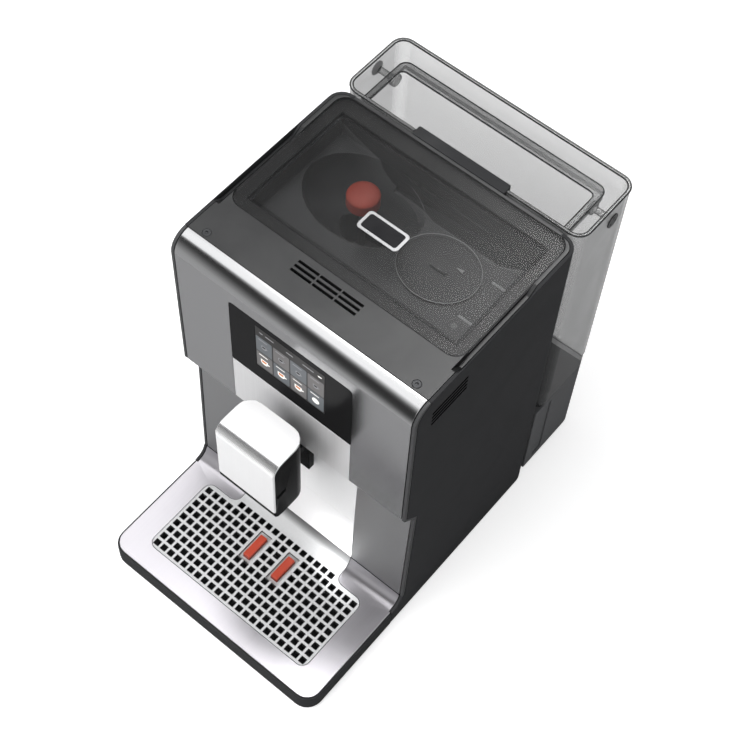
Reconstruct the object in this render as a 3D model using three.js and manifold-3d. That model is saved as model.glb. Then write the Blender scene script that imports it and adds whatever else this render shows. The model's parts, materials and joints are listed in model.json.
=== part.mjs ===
// Bean to cup coffee machine, millimetres, +Z up.
// The origin is under the middle of the machine's outer box, on the surface that it stands on.
// Inside the machine group y = 0 is the face of the upper front panel and +y runs to the rear.

import * as THREE from "three";
import * as BufferGeometryUtils from "three/addons/utils/BufferGeometryUtils.js";
import Module from "manifold-3d";

const wasm = await Module();
wasm.setup();

// Driving dimensions

const fit = 0.3;
const overrun = 2;
const weldTolerance = 0.0001;
const roundSteps = 3;
const turnSteps = 24;
const innerTurnSteps = 16;
const smallTurnSteps = 12;
const tinyTurnSteps = 8;

const machine = { width: 240, height: 375, rear: 200, trayReach: 117, bottom: 4 };
const sheet = {
  side: 3, front: 3, rear: 3, trim: 2.8, trimDepth: 3, groove: 0.8, rearCorner: 14, rearReturn: 16.7,
};
const roll = { radius: 17 };
const face = {
  height: 169, undercut: 16, notchDepth: 14.5, footDepth: 10.5, foot: 36.5, plate: 2, lip: 10,
  columnWidth: 56.1, seamShare: 0.55,
};
const sideVent = { front: 20.5, rear: 63, drop: 37.5, pitch: 5, height: 2.6, count: 4 };

const display = {
  half: 61.5, drop: 28, height: 81.5, corner: 5, screenHalf: 34.8, screenDrop: 7, screenHeight: 56,
};
const board = { inset: 5.5, edge: 4.2, thick: 1.6, room: 0.9 };
const frontFrame = { rear: 14.2, drop: 23, channelFront: 5.1, channelRear: 12 };

const spout = {
  half: 30.8, front: -56, rear: -15, rise: 56, drop: 16, roll: 11, rearCorner: 14, frontCorner: 2,
  skin: 2, lip: 1.3, bellyDrop: 12.5, bellyStart: -46,
};
const nozzle = { radius: 5, bore: 3.4, spread: 14, y: -36, drop: 4 };
const sideSlot = { y: -47, rise: 7, length: 10, width: 4.5, depth: 1.5, end: 1.2, lean: 0.1 };
const carriage = { half: 14.5, room: 0.4, drop: 48, rise: 114, armHalf: 12, armDrop: 11, armHeight: 10 };

const tray = {
  top: 24, skirt: 3, skirtWall: 6, floorBottom: 7.1, floorTop: 9.6, coverThick: 2, coverEdge: 2, corner: 16,
  split: -3.2, basinInset: 3.2, rearInset: 16, rearEnd: 150, rearWall: 20, wall: 3,
  ledge: 18, tongueEnd: -6, curlY: 7, curlEnd: 10.2,
};
const grille = {
  inset: 26.7, frontInset: 23, shoulder: -12, corner: 8, tongueRound: 8, rim: 1.45, frontRim: 5.62,
  bar: 2.45, crossBar: 2.76, spacing: 8.5, rearRow: -19.1, tongueRow: -10.6,
};
const float = {
  x: 16.7, y: -34, width: 7.5, length: 25, top: 26, corner: 0.6, flange: 2, flangeHeight: 2.5,
  bayWidth: 13, bayLength: 32.5, bayFloor: 21.2,
};
const grounds = { inset: 2.5, rearGap: 4, drop: 1, wall: 2 };

const chassis = {
  inset: 12, frontInset: 11, thick: 2.8, rearInset: 11, tailInset: 20, rail: 3, railGap: 1,
  railFront: 20, railRearInset: 6,
};
const deck = { rise: 3.5, thick: 3, front: 18.5, rim: 4 };
const foot = { radius: 10, inset: 28, frontInset: 29, rearInset: 31, edge: 1 };

const lid = { inset: 7, front: 56.7, rearInset: 3.6, corner: 12, rim: 2, rimGap: 1.1, rimDepth: 4 };
const cover = {
  thick: 7, skin: 3, lidDrop: 3.4, pocketGap: 3.7, pocketInset: 4,
  openInset: 16.5, openFront: 68, openRearInset: 17,
};
const grip = { skin: 1, front: 48, rear: 148, depth: 6, slope: 9 };
const topVent = {
  left: -32.5, right: 30.5, front: 37.8, pitch: 4.7, width: 2.5, bridge: 1.6, count: 3, parts: 3,
};
const screw = {
  inset: 18, y: 22.5, head: 3.5, headHeight: 1.6, shank: 1.5, length: 11, boss: 3.4,
  socket: 1.3, socketDepth: 0.9,
};
const badge = { x: -2, y: 111, length: 40, width: 19.5, corner: 3.5, thick: 0.8, sink: 0.5 };

const hopper = {
  drop: 25, wall: 2.5, flange: 4, flangeThick: 2.5, bowlX: 54, bowlY: 41, throat: 18, throatDrop: 67,
};
const trough = { left: -40, inset: 6.5, rearInset: 5, depth: 19, drop: 45 };
const chute = {
  x: 43, rearInset: 75, a: 34.5, b: 30.5, thick: 3, seat: 1.75, throatShare: 0.72, outlet: 8, drop: 69,
  wall: 2,
  ridge: 8, ridgeHalf: 2, ridgeRound: 1.8,
};
const grinder = {
  x: -44.5, rearInset: 60.5, knob: 14, knobDrop: 16, knobHeight: 14, knobDome: 4, spindle: 3,
  housing: 33, housingBore: 28, housingGap: 8, housingHeight: 72, neck: 18, neckBore: 10, neckLength: 20,
  motor: 30, shaft: 4,
};
const burr = {
  radius: 26, clear: 3.5, thick: 9, teeth: 8, toothDepth: 1.5, port: 4.2, portRing: 14.3, ports: 4, hub: 6,
};
const powderChute = { rearInset: 73, width: 12, rise: 24, end: 5.5, fall: 24, wall: 2 };
const brew = {
  x: 30, rearInset: 85, radius: 31, bore: 24, rise: 30, base: 4, powderGap: 3, rod: 6, rodGap: 6, rodProud: 8,
  pistonGap: 4, pistonThick: 8, post: 4, postGap: 3, postWidth: 19, bridgeThick: 6, shelf: 5,
  drive: 8, driveGap: 1, driveLength: 34,
};
const pump = { inset: 28, radius: 18, front: 60, motorGap: 1.5, neck: 6, neckLength: 8 };
const heater = {
  gap: 4, sideGap: 8, front: 92, rearInset: 16, height: 78.7, fin: 4, finDepth: 5, finCount: 7,
};
const power = { sideGap: 4, thick: 1.6, front: 30, rear: 84, height: 138.7 };
const pipe = {
  radius: 3.5, bend: 17.5, hoseRadius: 4, hoseBend: 24, hoseDrop: 18, deckInset: 22, railGap: 5,
  sides: 6, hoseSteps: 34, pipeSteps: 26,
};

const tankBase = {
  inset: 3, depth: 81, top: 110, waistInset: 1, bend: 60, toe: 30, heelInset: 9, wall: 3, corner: 15,
};
const sideRecess = { start: 13, width: 13, bottom: 15, drop: 6, depth: 1.5 };
const socket = { start: 40, bore: 9 };
const gland = { inset: 30, z: 40, radius: 9, bore: 4, length: 18 };
const tank = {
  inset: 1.5, gap: 3, depth: 74, wall: 2.2, floor: 2.5, corner: 12, bandRise: 8, bandHeight: 17, bandStep: 1.5,
};
const valve = { stem: 4.6, head: 9, headThick: 3, rise: 10 };
const handle = {
  inset: 16, frontGap: 3, depth: 56, drop: 7, bar: 8, leg: 5, frontBar: 3, rearBar: 10, rearSkirt: 2.5,
  pivotInset: 15, pivotDrop: 10.5, pin: 3, ear: 6, cap: 7, capThick: 1.2, capHole: 0.9, capHoleRing: 3.6,
  capHoles: 3, corner: 8,
};
const gripTab = { half: 46, gap: 0.2, depth: 10.3, corner: 3 };

// Widths worked out from the driving dimensions

const half = machine.width / 2;
const sideInner = half - sheet.side;
const panelHalf = half - sheet.trim - fit - sheet.groove;
const centreHalf = panelHalf - face.columnWidth;
const grilleHalf = half - grille.inset;
const columns = 2 * Math.round((grilleHalf - grille.rim) / grille.spacing);
const pitchX = (2 * (grilleHalf - grille.rim)) / columns;
const tongueColumns = 2 * Math.floor((centreHalf - grille.rim) / pitchX);
const trayRearHalf = half - tray.rearInset;
const railInner = trayRearHalf + chassis.railGap;
const groundsHalf = centreHalf - grounds.inset;
const lidHalf = half - lid.inset;
const openHalf = half - cover.openInset;
const screwX = half - screw.inset;
const pumpX = pump.inset - half;
const heaterLeft = brew.x + brew.radius + brew.postGap + brew.post + heater.gap;
const heaterRight = sideInner - heater.sideGap;
const hoseLane = pipe.railGap - railInner;
const baseHalf = half - tankBase.inset;
const glandX = gland.inset - baseHalf;
const tankHalf = half - tank.inset;
const handleHalf = tankHalf - handle.inset;

// Heights worked out from the driving dimensions

const rollCentreZ = machine.height - roll.radius;
const faceBottom = machine.height - face.height;
const notchTop = faceBottom - face.undercut;
const displayTop = machine.height - display.drop;
const displayBottom = displayTop - display.height;
const screenTop = displayTop - display.screenDrop;
const screenBottom = screenTop - display.screenHeight;
const frameTop = machine.height - frontFrame.drop;
const spoutTop = faceBottom + spout.rise;
const spoutBottom = faceBottom - spout.drop;
const shelfBottom = tray.top - tray.coverThick;
const chassisTop = machine.bottom + chassis.thick;
const seam = notchTop * face.seamShare;
const groundsTop = seam - grounds.drop;
const deckBottom = seam + deck.rise;
const deckTop = deckBottom + deck.thick;
const onDeck = deckTop + fit;
const coverTop = machine.height;
const coverBottom = coverTop - cover.thick;
const lidFloor = coverTop - cover.lidDrop;
const hopperTop = coverBottom - fit;
const platform = coverTop - hopper.drop;
const throatBottom = coverTop - hopper.throatDrop;
const chuteSeat = platform - chute.seat;
const chuteBottom = coverTop - chute.drop;
const knobTop = coverTop - grinder.knobDrop;
const knobBottom = knobTop - grinder.knobHeight;
const housingWall = grinder.housing - grinder.housingBore;
const housingTop = throatBottom - grinder.housingGap;
const housingFloor = housingTop - grinder.housingHeight;
const motorTop = housingFloor - grinder.neckLength;
const burrSplit = housingFloor + housingWall + burr.clear + burr.thick + burr.toothDepth;
const powderTop = housingFloor + powderChute.rise;
const powderEnd = powderTop - powderChute.fall;
const powderLow = powderEnd - powderChute.width + powderChute.wall;
const chamberBottom = deckTop + brew.rise;
const chamberTop = powderLow - brew.powderGap;
const brewTop = chuteBottom - brew.rodGap;
const bridgeTop = brewTop - brew.rodProud;
const bridgeBottom = bridgeTop - brew.bridgeThick;
const pumpZ = onDeck + pump.radius;
const hoseLow = tankBase.top - pipe.hoseDrop;
const tankTop = machine.height;
const handleTop = tankTop - handle.drop;
const pivotZ = handleTop - handle.pivotDrop;

// Places from front to rear worked out from the driving dimensions

const faceSlope = (face.notchDepth - face.footDepth) / (notchTop - face.foot);
const faceY = (z) => face.footDepth + (z - face.foot) * faceSlope;
const rearInner = machine.rear - sheet.rear;
const trayFront = -machine.trayReach;
const grilleFront = trayFront + grille.frontInset;
const rowsLength = grille.rearRow - grilleFront - grille.frontRim;
const rows = Math.round(rowsLength / grille.spacing) + 1;
const pitchY = rowsLength / (rows - 1);
const lidRear = machine.rear - lid.rearInset;
const openRear = machine.rear - cover.openRearInset;
const chuteY = machine.rear - chute.rearInset;
const grinderY = machine.rear - grinder.rearInset;
const powderY = machine.rear - powderChute.rearInset;
const brewY = machine.rear - brew.rearInset;
const driveY = brewY + brew.radius + brew.driveGap + brew.drive;
const pumpRear = grinderY - grinder.motor - pump.motorGap;
const heaterRear = machine.rear - heater.rearInset;
const hoseDeckY = machine.rear - pipe.deckInset;
const baseRear = machine.rear + tankBase.depth;
const socketY = machine.rear + socket.start;
const tankFront = machine.rear + tank.gap;
const tankRear = tankFront + tank.depth;
const handleFront = tankFront + handle.frontGap;
const handleRear = handleFront + handle.depth;
const pivotY = handleRear - handle.pivotInset;
const middleY = (baseRear - machine.trayReach) / 2;

// Geometry helpers

const axisX = new THREE.Vector3(1, 0, 0);
const axisY = new THREE.Vector3(0, 1, 0);
const axisZ = new THREE.Vector3(0, 0, 1);
const towardsX = new THREE.Matrix4().makeBasis(axisY, axisZ, axisX);
const towardsY = new THREE.Matrix4().makeBasis(axisX, axisZ, axisY.clone().negate());

function weld(geometry) {
  const bare = geometry.clone();
  bare.deleteAttribute("normal");
  bare.deleteAttribute("uv");
  const merged = BufferGeometryUtils.mergeVertices(bare, weldTolerance);
  const corners = merged.index.array;
  const kept = [];
  for (let i = 0; i < corners.length; i += 3) {
    const [a, b, c] = [corners[i], corners[i + 1], corners[i + 2]];
    if (a !== b && b !== c && c !== a) kept.push(a, b, c);
  }
  merged.setIndex(kept);
  return merged;
}

function toSolid(geometry) {
  const welded = weld(geometry);
  const vertProperties = new Float32Array(welded.attributes.position.array);
  const triVerts = new Uint32Array(welded.index.array);
  return new wasm.Manifold(new wasm.Mesh({ numProp: 3, vertProperties, triVerts }));
}

function toGeometry(solid) {
  const mesh = solid.getMesh();
  const geometry = new THREE.BufferGeometry();
  geometry.setAttribute("position", new THREE.BufferAttribute(mesh.vertProperties, 3));
  geometry.setIndex(new THREE.BufferAttribute(mesh.triVerts, 1));
  return geometry;
}

function join(first, ...others) {
  return toGeometry(others.reduce((solid, other) => solid.add(toSolid(other)), toSolid(first)));
}

function cut(first, ...tools) {
  return toGeometry(tools.reduce((solid, tool) => solid.subtract(toSolid(tool)), toSolid(first)));
}

function meet(first, second) {
  return toGeometry(toSolid(first).intersect(toSolid(second)));
}

function slab(x0, x1, y0, y1, z0, z1) {
  const geometry = new THREE.BoxGeometry(x1 - x0, y1 - y0, z1 - z0);
  return geometry.translate((x0 + x1) / 2, (y0 + y1) / 2, (z0 + z1) / 2);
}

function extruded(shape, depth) {
  return new THREE.ExtrudeGeometry(shape, { depth, bevelEnabled: false, curveSegments: roundSteps });
}

function alongZ(shape, z0, z1) {
  return extruded(shape, z1 - z0).translate(0, 0, z0);
}

// The shape's own axes are y and z
function alongX(shape, x0, x1) {
  return extruded(shape, x1 - x0).applyMatrix4(towardsX).translate(x0, 0, 0);
}

// The shape's own axes are x and z
function alongY(shape, y0, y1) {
  return extruded(shape, y1 - y0).applyMatrix4(towardsY).translate(0, y1, 0);
}

function turned(profile, x, y, steps = turnSteps) {
  const points = profile.map(([radius, z]) => new THREE.Vector2(radius, z));
  return new THREE.LatheGeometry(points, steps).rotateX(Math.PI / 2).translate(x, y, 0);
}

function rod(radius, z0, z1, x, y, steps = smallTurnSteps) {
  return turned([[0, z0], [radius, z0], [radius, z1], [0, z1]], x, y, steps);
}

function rodAlongX(radius, x0, x1, y, z, steps = smallTurnSteps) {
  const cylinder = new THREE.CylinderGeometry(radius, radius, x1 - x0, steps);
  return cylinder.rotateZ(Math.PI / 2).translate((x0 + x1) / 2, y, z);
}

function rodAlongY(radius, y0, y1, x, z, steps = smallTurnSteps) {
  return new THREE.CylinderGeometry(radius, radius, y1 - y0, steps).translate(x, (y0 + y1) / 2, z);
}

// A rectangle whose corners are rounded, in the order left low, right low, right high, left high
function rounded(u0, u1, v0, v1, radii) {
  const [a, b, c, d] = Array.isArray(radii) ? radii : [radii, radii, radii, radii];
  const shape = new THREE.Shape();
  shape.moveTo(u0 + a, v0);
  shape.lineTo(u1 - b, v0);
  if (b > 0) shape.absarc(u1 - b, v0 + b, b, -Math.PI / 2, 0);
  shape.lineTo(u1, v1 - c);
  if (c > 0) shape.absarc(u1 - c, v1 - c, c, 0, Math.PI / 2);
  shape.lineTo(u0 + d, v1);
  if (d > 0) shape.absarc(u0 + d, v1 - d, d, Math.PI / 2, Math.PI);
  shape.lineTo(u0, v0 + a);
  if (a > 0) shape.absarc(u0 + a, v0 + a, a, Math.PI, Math.PI * 1.5);
  return shape;
}

function polygon(points) {
  return new THREE.Shape(points.map(([u, v]) => new THREE.Vector2(u, v)));
}

function mirroredX(geometry) {
  const copy = weld(geometry).applyMatrix4(new THREE.Matrix4().makeScale(-1, 1, 1));
  const corners = copy.index.array;
  for (let i = 0; i < corners.length; i += 3) {
    const first = corners[i];
    corners[i] = corners[i + 1];
    corners[i + 1] = first;
  }
  return copy;
}

// Outer panels

// The plan of what lies between the side panels, with the rear corners that they wrap round
function innerPlan(front) {
  const edge = sideInner - fit;
  const corner = sheet.rearCorner - sheet.side - fit;
  return rounded(-edge, edge, front, rearInner - fit, [0, 0, corner, corner]);
}

// The front edge of the machine's side, from the roll down to the foot of the column, set back by an inset
function frontEdge(shape, inset) {
  shape.absarc(roll.radius, rollCentreZ, roll.radius - inset, Math.PI / 2, Math.PI);
  shape.lineTo(inset, faceBottom);
  shape.lineTo(face.notchDepth + inset, notchTop);
  shape.lineTo(face.footDepth + inset, face.foot);
}

function sideTrim() {
  const shape = new THREE.Shape();
  frontEdge(shape, 0);
  shape.lineTo(face.footDepth + sheet.trimDepth, face.foot);
  shape.lineTo(face.notchDepth + sheet.trimDepth, notchTop);
  shape.lineTo(sheet.trimDepth, faceBottom);
  shape.absarc(roll.radius, rollCentreZ, roll.radius - sheet.trimDepth, Math.PI, Math.PI / 2, true);
  return alongX(shape, half - sheet.trim - fit, half - fit);
}

function sideOutline() {
  const inset = sheet.trimDepth + fit;
  const shape = new THREE.Shape();
  shape.moveTo(roll.radius + fit, machine.height);
  shape.lineTo(roll.radius + fit, machine.height - inset);
  frontEdge(shape, inset);
  shape.lineTo(face.footDepth + inset, face.foot - fit);
  shape.lineTo(face.footDepth, face.foot - fit);
  shape.quadraticCurveTo(tray.curlY, tray.top, tray.split, tray.top);
  shape.lineTo(tray.split, machine.bottom);
  shape.lineTo(machine.rear + overrun, machine.bottom);
  shape.lineTo(machine.rear + overrun, machine.height);
  return shape;
}

// The recess beside the lid where fingers reach its edge, cut from the cover and the top of the side panel
function fingerRecess() {
  const shape = polygon([
    [grip.front, coverTop + overrun], [grip.front, coverTop],
    [grip.front + grip.slope, coverTop - grip.depth],
    [grip.rear - grip.slope, coverTop - grip.depth], [grip.rear, coverTop], [grip.rear, coverTop + overrun],
  ]);
  return alongX(shape, lidHalf + fit, half - grip.skin);
}

function sidePanel() {
  const corner = sheet.rearCorner;
  const front = tray.split - overrun;
  const returnX = half - sheet.rearReturn;
  const plan = new THREE.Shape();
  plan.moveTo(half, front);
  plan.lineTo(half, machine.rear - corner);
  plan.absarc(half - corner, machine.rear - corner, corner, 0, Math.PI / 2);
  plan.lineTo(returnX, machine.rear);
  plan.lineTo(returnX, rearInner);
  plan.lineTo(half - corner, rearInner);
  plan.absarc(half - corner, machine.rear - corner, corner - sheet.side, Math.PI / 2, 0, true);
  plan.lineTo(sideInner, front);
  const wall = alongZ(plan, machine.bottom, machine.height);
  const outline = alongX(sideOutline(), returnX - overrun, half + overrun);
  const [inside, outside] = [sideInner - overrun, half + overrun];
  const vents = [];
  for (let i = 0; i < sideVent.count; i += 1) {
    const z = machine.height - sideVent.drop + i * sideVent.pitch;
    vents.push(slab(inside, outside, sideVent.front, sideVent.rear, z, z + sideVent.height));
  }
  return cut(meet(wall, outline), fingerRecess(), ...vents);
}

function frontPanel() {
  const shape = new THREE.Shape();
  shape.absarc(roll.radius, rollCentreZ, roll.radius, Math.PI / 2, Math.PI);
  shape.lineTo(0, faceBottom);
  shape.lineTo(sheet.front, faceBottom);
  shape.absarc(roll.radius, rollCentreZ, roll.radius - sheet.front, Math.PI, Math.PI / 2, true);
  const skin = alongX(shape, -panelHalf, panelHalf);
  const edge = display.half + fit;
  const radii = [0, 0, display.corner, display.corner];
  const window = rounded(-edge, edge, faceBottom - overrun, displayTop + fit, radii);
  return cut(skin, alongY(window, -overrun, sheet.front + overrun));
}

function frontFrameBody() {
  const slope = (faceBottom - notchTop) / face.notchDepth;
  const profile = polygon([
    [sheet.front, faceBottom - sheet.front * slope],
    [frontFrame.rear, faceBottom - frontFrame.rear * slope],
    [frontFrame.rear, frameTop],
    [sheet.front, frameTop],
  ]);
  const block = alongX(profile, -panelHalf, panelHalf);
  const cavity = slab(
    -centreHalf, centreHalf, -overrun, frontFrame.rear + overrun, notchTop - overrun, faceBottom,
  );
  const channelHalf = carriage.half + carriage.room;
  const channelTop = faceBottom + carriage.rise + fit;
  const channel = slab(
    -channelHalf, channelHalf, frontFrame.channelFront, frontFrame.channelRear, notchTop, channelTop,
  );
  const boardHalf = display.half - board.inset + fit;
  const boardRear = sheet.front + board.thick + board.room;
  const [low, high] = [displayBottom + board.edge - fit, displayTop - board.edge + fit];
  const pocket = slab(-boardHalf, boardHalf, 0, boardRear, low, high);
  return cut(block, cavity, channel, pocket);
}

// The plane wall under the overhang: columns, backsplash and drawer front share this section
function faceSection(z0, z1, withLip) {
  const shape = new THREE.Shape();
  shape.moveTo(faceY(z0), z0);
  shape.lineTo(faceY(z1), z1);
  if (withLip) {
    shape.lineTo(faceY(z1), z1 + face.lip);
    shape.lineTo(faceY(z1) + face.plate, z1 + face.lip);
  }
  shape.lineTo(faceY(z1) + face.plate, z1);
  shape.lineTo(faceY(z0) + face.plate, z0);
  return shape;
}

function column() {
  return alongX(faceSection(face.foot, notchTop, true), centreHalf + fit / 2, panelHalf);
}

function backsplash() {
  const edge = centreHalf - fit / 2;
  return alongX(faceSection(seam, notchTop, true), -edge, edge);
}

function groundsFront() {
  const edge = centreHalf - fit / 2;
  return alongX(faceSection(face.foot, seam - fit, false), -edge, edge);
}

function spoutPlate() {
  return slab(-display.half, display.half, 0, sheet.front, faceBottom, displayBottom - fit);
}

function displayPanel() {
  const radii = [0, 0, display.corner, display.corner];
  const outline = rounded(-display.half, display.half, displayBottom, displayTop, radii);
  const edge = display.screenHalf + fit / 2;
  const window = slab(
    -edge, edge, -overrun, sheet.front + overrun, screenBottom - fit / 2, screenTop + fit / 2,
  );
  return cut(alongY(outline, 0, sheet.front), window);
}

function displayScreen() {
  return slab(
    -display.screenHalf, display.screenHalf, 0, sheet.front - fit, screenBottom, screenTop,
  );
}

function controlBoard() {
  const front = sheet.front + fit;
  const edge = display.half - board.inset;
  return slab(
    -edge, edge, front, front + board.thick, displayBottom + board.edge, displayTop - board.edge,
  );
}

function rearPanel() {
  const edge = half - sheet.rearReturn - fit;
  const plate = slab(-edge, edge, rearInner, machine.rear, chassisTop + fit, coverBottom - fit);
  const bore = pipe.hoseRadius + 2 * fit;
  const hoseHole = rodAlongY(bore, rearInner - overrun, machine.rear + overrun, pumpX, hoseLow);
  return cut(plate, hoseHole);
}

// Top cover, lid and bean hopper

function topCover() {
  const edge = sideInner - fit;
  const front = roll.radius + fit;
  const rearHalf = half - sheet.rearReturn - fit;
  const blank = join(
    alongZ(innerPlan(front), coverBottom, coverTop),
    slab(-rearHalf, rearHalf, openRear, machine.rear - fit, coverBottom, coverTop),
  );
  const lidBed = rounded(-lidHalf - fit, lidHalf + fit, lid.front - fit, lidRear + fit, lid.corner);
  const opening = rounded(-openHalf, openHalf, cover.openFront, openRear, lid.rim);
  const underHalf = edge - cover.pocketInset;
  const low = coverBottom - overrun;
  const high = coverTop + overrun;
  const tools = [
    alongZ(lidBed, lidFloor, high),
    alongZ(opening, low, coverTop),
    slab(
      -underHalf, underHalf, front + cover.pocketInset, lid.front - cover.pocketGap, low, coverTop - cover.skin,
    ),
    fingerRecess(),
    mirroredX(fingerRecess()),
  ];
  const step = (topVent.right - topVent.left + topVent.bridge) / topVent.parts;
  for (let row = 0; row < topVent.count; row += 1) {
    const y = topVent.front + row * topVent.pitch;
    for (let part = 0; part < topVent.parts; part += 1) {
      const x = topVent.left + part * step;
      tools.push(slab(x, x + step - topVent.bridge, y, y + topVent.width, low, high));
    }
  }
  const bossEnd = coverTop - screw.length - overrun;
  const bossTop = coverTop - cover.skin;
  const bosses = [-1, 1].map((side) => rod(screw.boss, bossEnd, bossTop, side * screwX, screw.y));
  const carved = join(cut(blank, ...tools), ...bosses);
  const screwHoles = [-1, 1].flatMap((side) => [
    rod(screw.head + fit / 2, coverTop - screw.headHeight - fit, high, side * screwX, screw.y),
    rod(screw.shank + fit / 2, bossEnd - overrun, coverTop, side * screwX, screw.y),
  ]);
  return cut(carved, ...screwHoles);
}

function coverScrew(side) {
  const under = coverTop - screw.headHeight;
  const end = coverTop - screw.length;
  const deep = coverTop - screw.socketDepth;
  const profile = [
    [0, end], [screw.shank, end], [screw.shank, under], [screw.head, under], [screw.head, coverTop],
    [screw.socket, coverTop], [screw.socket, deep], [0, deep],
  ];
  return turned(profile, side * screwX, screw.y, smallTurnSteps);
}

function hopperLid() {
  const underside = lidFloor + fit;
  const plate = alongZ(rounded(-lidHalf, lidHalf, lid.front, lidRear, lid.corner), underside, coverTop);
  const low = underside - lid.rimDepth;
  const rimHalf = openHalf - lid.rimGap;
  const [front, rear] = [cover.openFront + lid.rimGap, openRear - lid.rimGap];
  const outer = alongZ(rounded(-rimHalf, rimHalf, front, rear, lid.rim), low, underside);
  const innerHalf = rimHalf - lid.rim;
  const inner = slab(-innerHalf, innerHalf, front + lid.rim, rear - lid.rim, low - overrun, underside);
  const edgeX = badge.length / 2 + fit / 2;
  const edgeY = badge.width / 2 + fit / 2;
  const bed = rounded(badge.x - edgeX, badge.x + edgeX, badge.y - edgeY, badge.y + edgeY, badge.corner);
  return cut(join(plate, cut(outer, inner)), alongZ(bed, coverTop - badge.sink, coverTop + overrun));
}

function lidBadge() {
  const [x, y] = [badge.length / 2, badge.width / 2];
  const outline = rounded(badge.x - x, badge.x + x, badge.y - y, badge.y + y, badge.corner);
  return alongZ(outline, coverTop - badge.sink, coverTop - badge.sink + badge.thick);
}

// An upright oval solid whose width follows a profile of shares of its two half axes
function oval(profileShares, a, b, x, y) {
  const points = profileShares.map(([share, z]) => new THREE.Vector2(share, z));
  return new THREE.LatheGeometry(points, turnSteps).rotateX(Math.PI / 2).scale(a, b, 1).translate(x, y, 0);
}

// The round bowl that leads the beans down to the grinder; grow widens it for its outside
function bowl(grow, z0, z1) {
  const a = hopper.bowlX + grow;
  const b = hopper.bowlY + grow;
  const throatShare = (hopper.throat + grow) / a;
  const steps = 5;
  const profileShares = [[0, z0], [throatShare, z0]];
  for (let i = 1; i <= steps; i += 1) {
    const riseShare = i / steps;
    const widthShare = throatShare + (1 - throatShare) * Math.sin((riseShare * Math.PI) / 2);
    profileShares.push([widthShare, z0 + (platform - z0) * riseShare]);
  }
  profileShares.push([1, z1], [0, z1]);
  return oval(profileShares, a, b, grinder.x, grinderY);
}

function beanHopper() {
  const { wall, flange } = hopper;
  const edge = openHalf - fit;
  const [front, rear] = [cover.openFront + fit, openRear - fit];
  const out = edge + flange;
  const flangeLow = hopperTop - hopper.flangeThick;
  const shell = join(
    alongZ(rounded(-edge, edge, front, rear, lid.rim), platform - wall, hopperTop),
    slab(-out, out, front - flange, rear + flange, flangeLow, hopperTop),
  );
  const bowlOuter = meet(
    bowl(wall, throatBottom, platform),
    slab(-edge, edge, front, rear, throatBottom - overrun, platform),
  );
  const bowlInner = meet(
    bowl(0, throatBottom - overrun, platform + overrun),
    slab(wall - edge, edge - wall, front + wall, rear - wall, throatBottom - 2 * overrun, hopperTop),
  );
  const low = coverTop - trough.drop;
  const right = openHalf - trough.inset;
  const troughOuter = polygon([
    [trough.left, low - wall], [right, platform - 2 * wall], [right, platform], [trough.left, platform],
  ]);
  const troughInner = polygon([
    [trough.left, low], [right - wall, platform - wall],
    [right - wall, platform + overrun], [trough.left, platform + overrun],
  ]);
  const troughRear = openRear - trough.rearInset;
  const troughFront = troughRear - trough.depth;
  const chuteRise = platform - wall;
  const outletShare = chute.outlet / chute.a;
  const lipShare = (chute.outlet + chute.wall) / chute.a;
  const mouthShare = chute.throatShare * (1 - chute.wall / chute.a);
  const funnel = (profileShares) => oval(profileShares, chute.a, chute.b, chute.x, chuteY);
  const chuteOuter = funnel([
    [0, chuteBottom], [lipShare, chuteBottom], [chute.throatShare, chuteRise + fit], [0, chuteRise + fit],
  ]);
  const chuteInner = funnel([
    [0, chuteBottom - overrun], [outletShare, chuteBottom - overrun], [mouthShare, chuteRise],
    [mouthShare, hopperTop], [0, hopperTop],
  ]);
  const seatRing = [[0, chuteSeat], [1, chuteSeat], [1, hopperTop], [0, hopperTop]];
  const seat = oval(seatRing, chute.a + fit, chute.b + fit, chute.x, chuteY);
  const solid = join(
    shell,
    bowlOuter,
    alongY(troughOuter, troughFront - wall, troughRear + wall),
    chuteOuter,
  );
  const basin = slab(wall - edge, edge - wall, front + wall, rear - wall, platform, hopperTop + overrun);
  const troughCut = alongY(troughInner, troughFront, troughRear);
  return cut(solid, basin, bowlInner, troughCut, chuteInner, seat);
}

function chuteLid() {
  const { x, a, b, ridge, ridgeHalf } = chute;
  const y = chuteY;
  const low = chuteSeat + fit;
  const high = low + chute.thick;
  const plate = oval([[0, low], [1, low], [1, high], [0, high]], a, b, x, y);
  const grasp = rounded(x - ridge, x + ridge, y - ridgeHalf, y + ridgeHalf, chute.ridgeRound);
  return join(plate, alongZ(grasp, (low + high) / 2, high + chute.wall));
}

// Grinder

function grinderKnob() {
  const { knob, knobDome } = grinder;
  const profile = [[0, knobBottom], [knob, knobBottom], [knob, knobTop - knobDome]];
  const steps = 5;
  for (let i = 1; i < steps; i += 1) {
    const angle = (i / steps) * (Math.PI / 2);
    profile.push([knob * Math.cos(angle), knobTop - knobDome + knobDome * Math.sin(angle)]);
  }
  profile.push([0, knobTop]);
  return turned(profile, grinder.x, grinderY);
}

// The cutting teeth of a burr, set round the grinder's axis
function burrTeeth(z0, z1) {
  const halfTooth = burr.toothDepth / 2;
  const outer = burr.radius - 2 * burr.toothDepth;
  const teeth = [];
  for (let i = 0; i < burr.teeth; i += 1) {
    const tooth = slab(grinder.neckBore, outer, -halfTooth, halfTooth, z0, z1);
    teeth.push(tooth.rotateZ((i / burr.teeth) * Math.PI * 2).translate(grinder.x, grinderY, 0));
  }
  return teeth;
}

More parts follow.
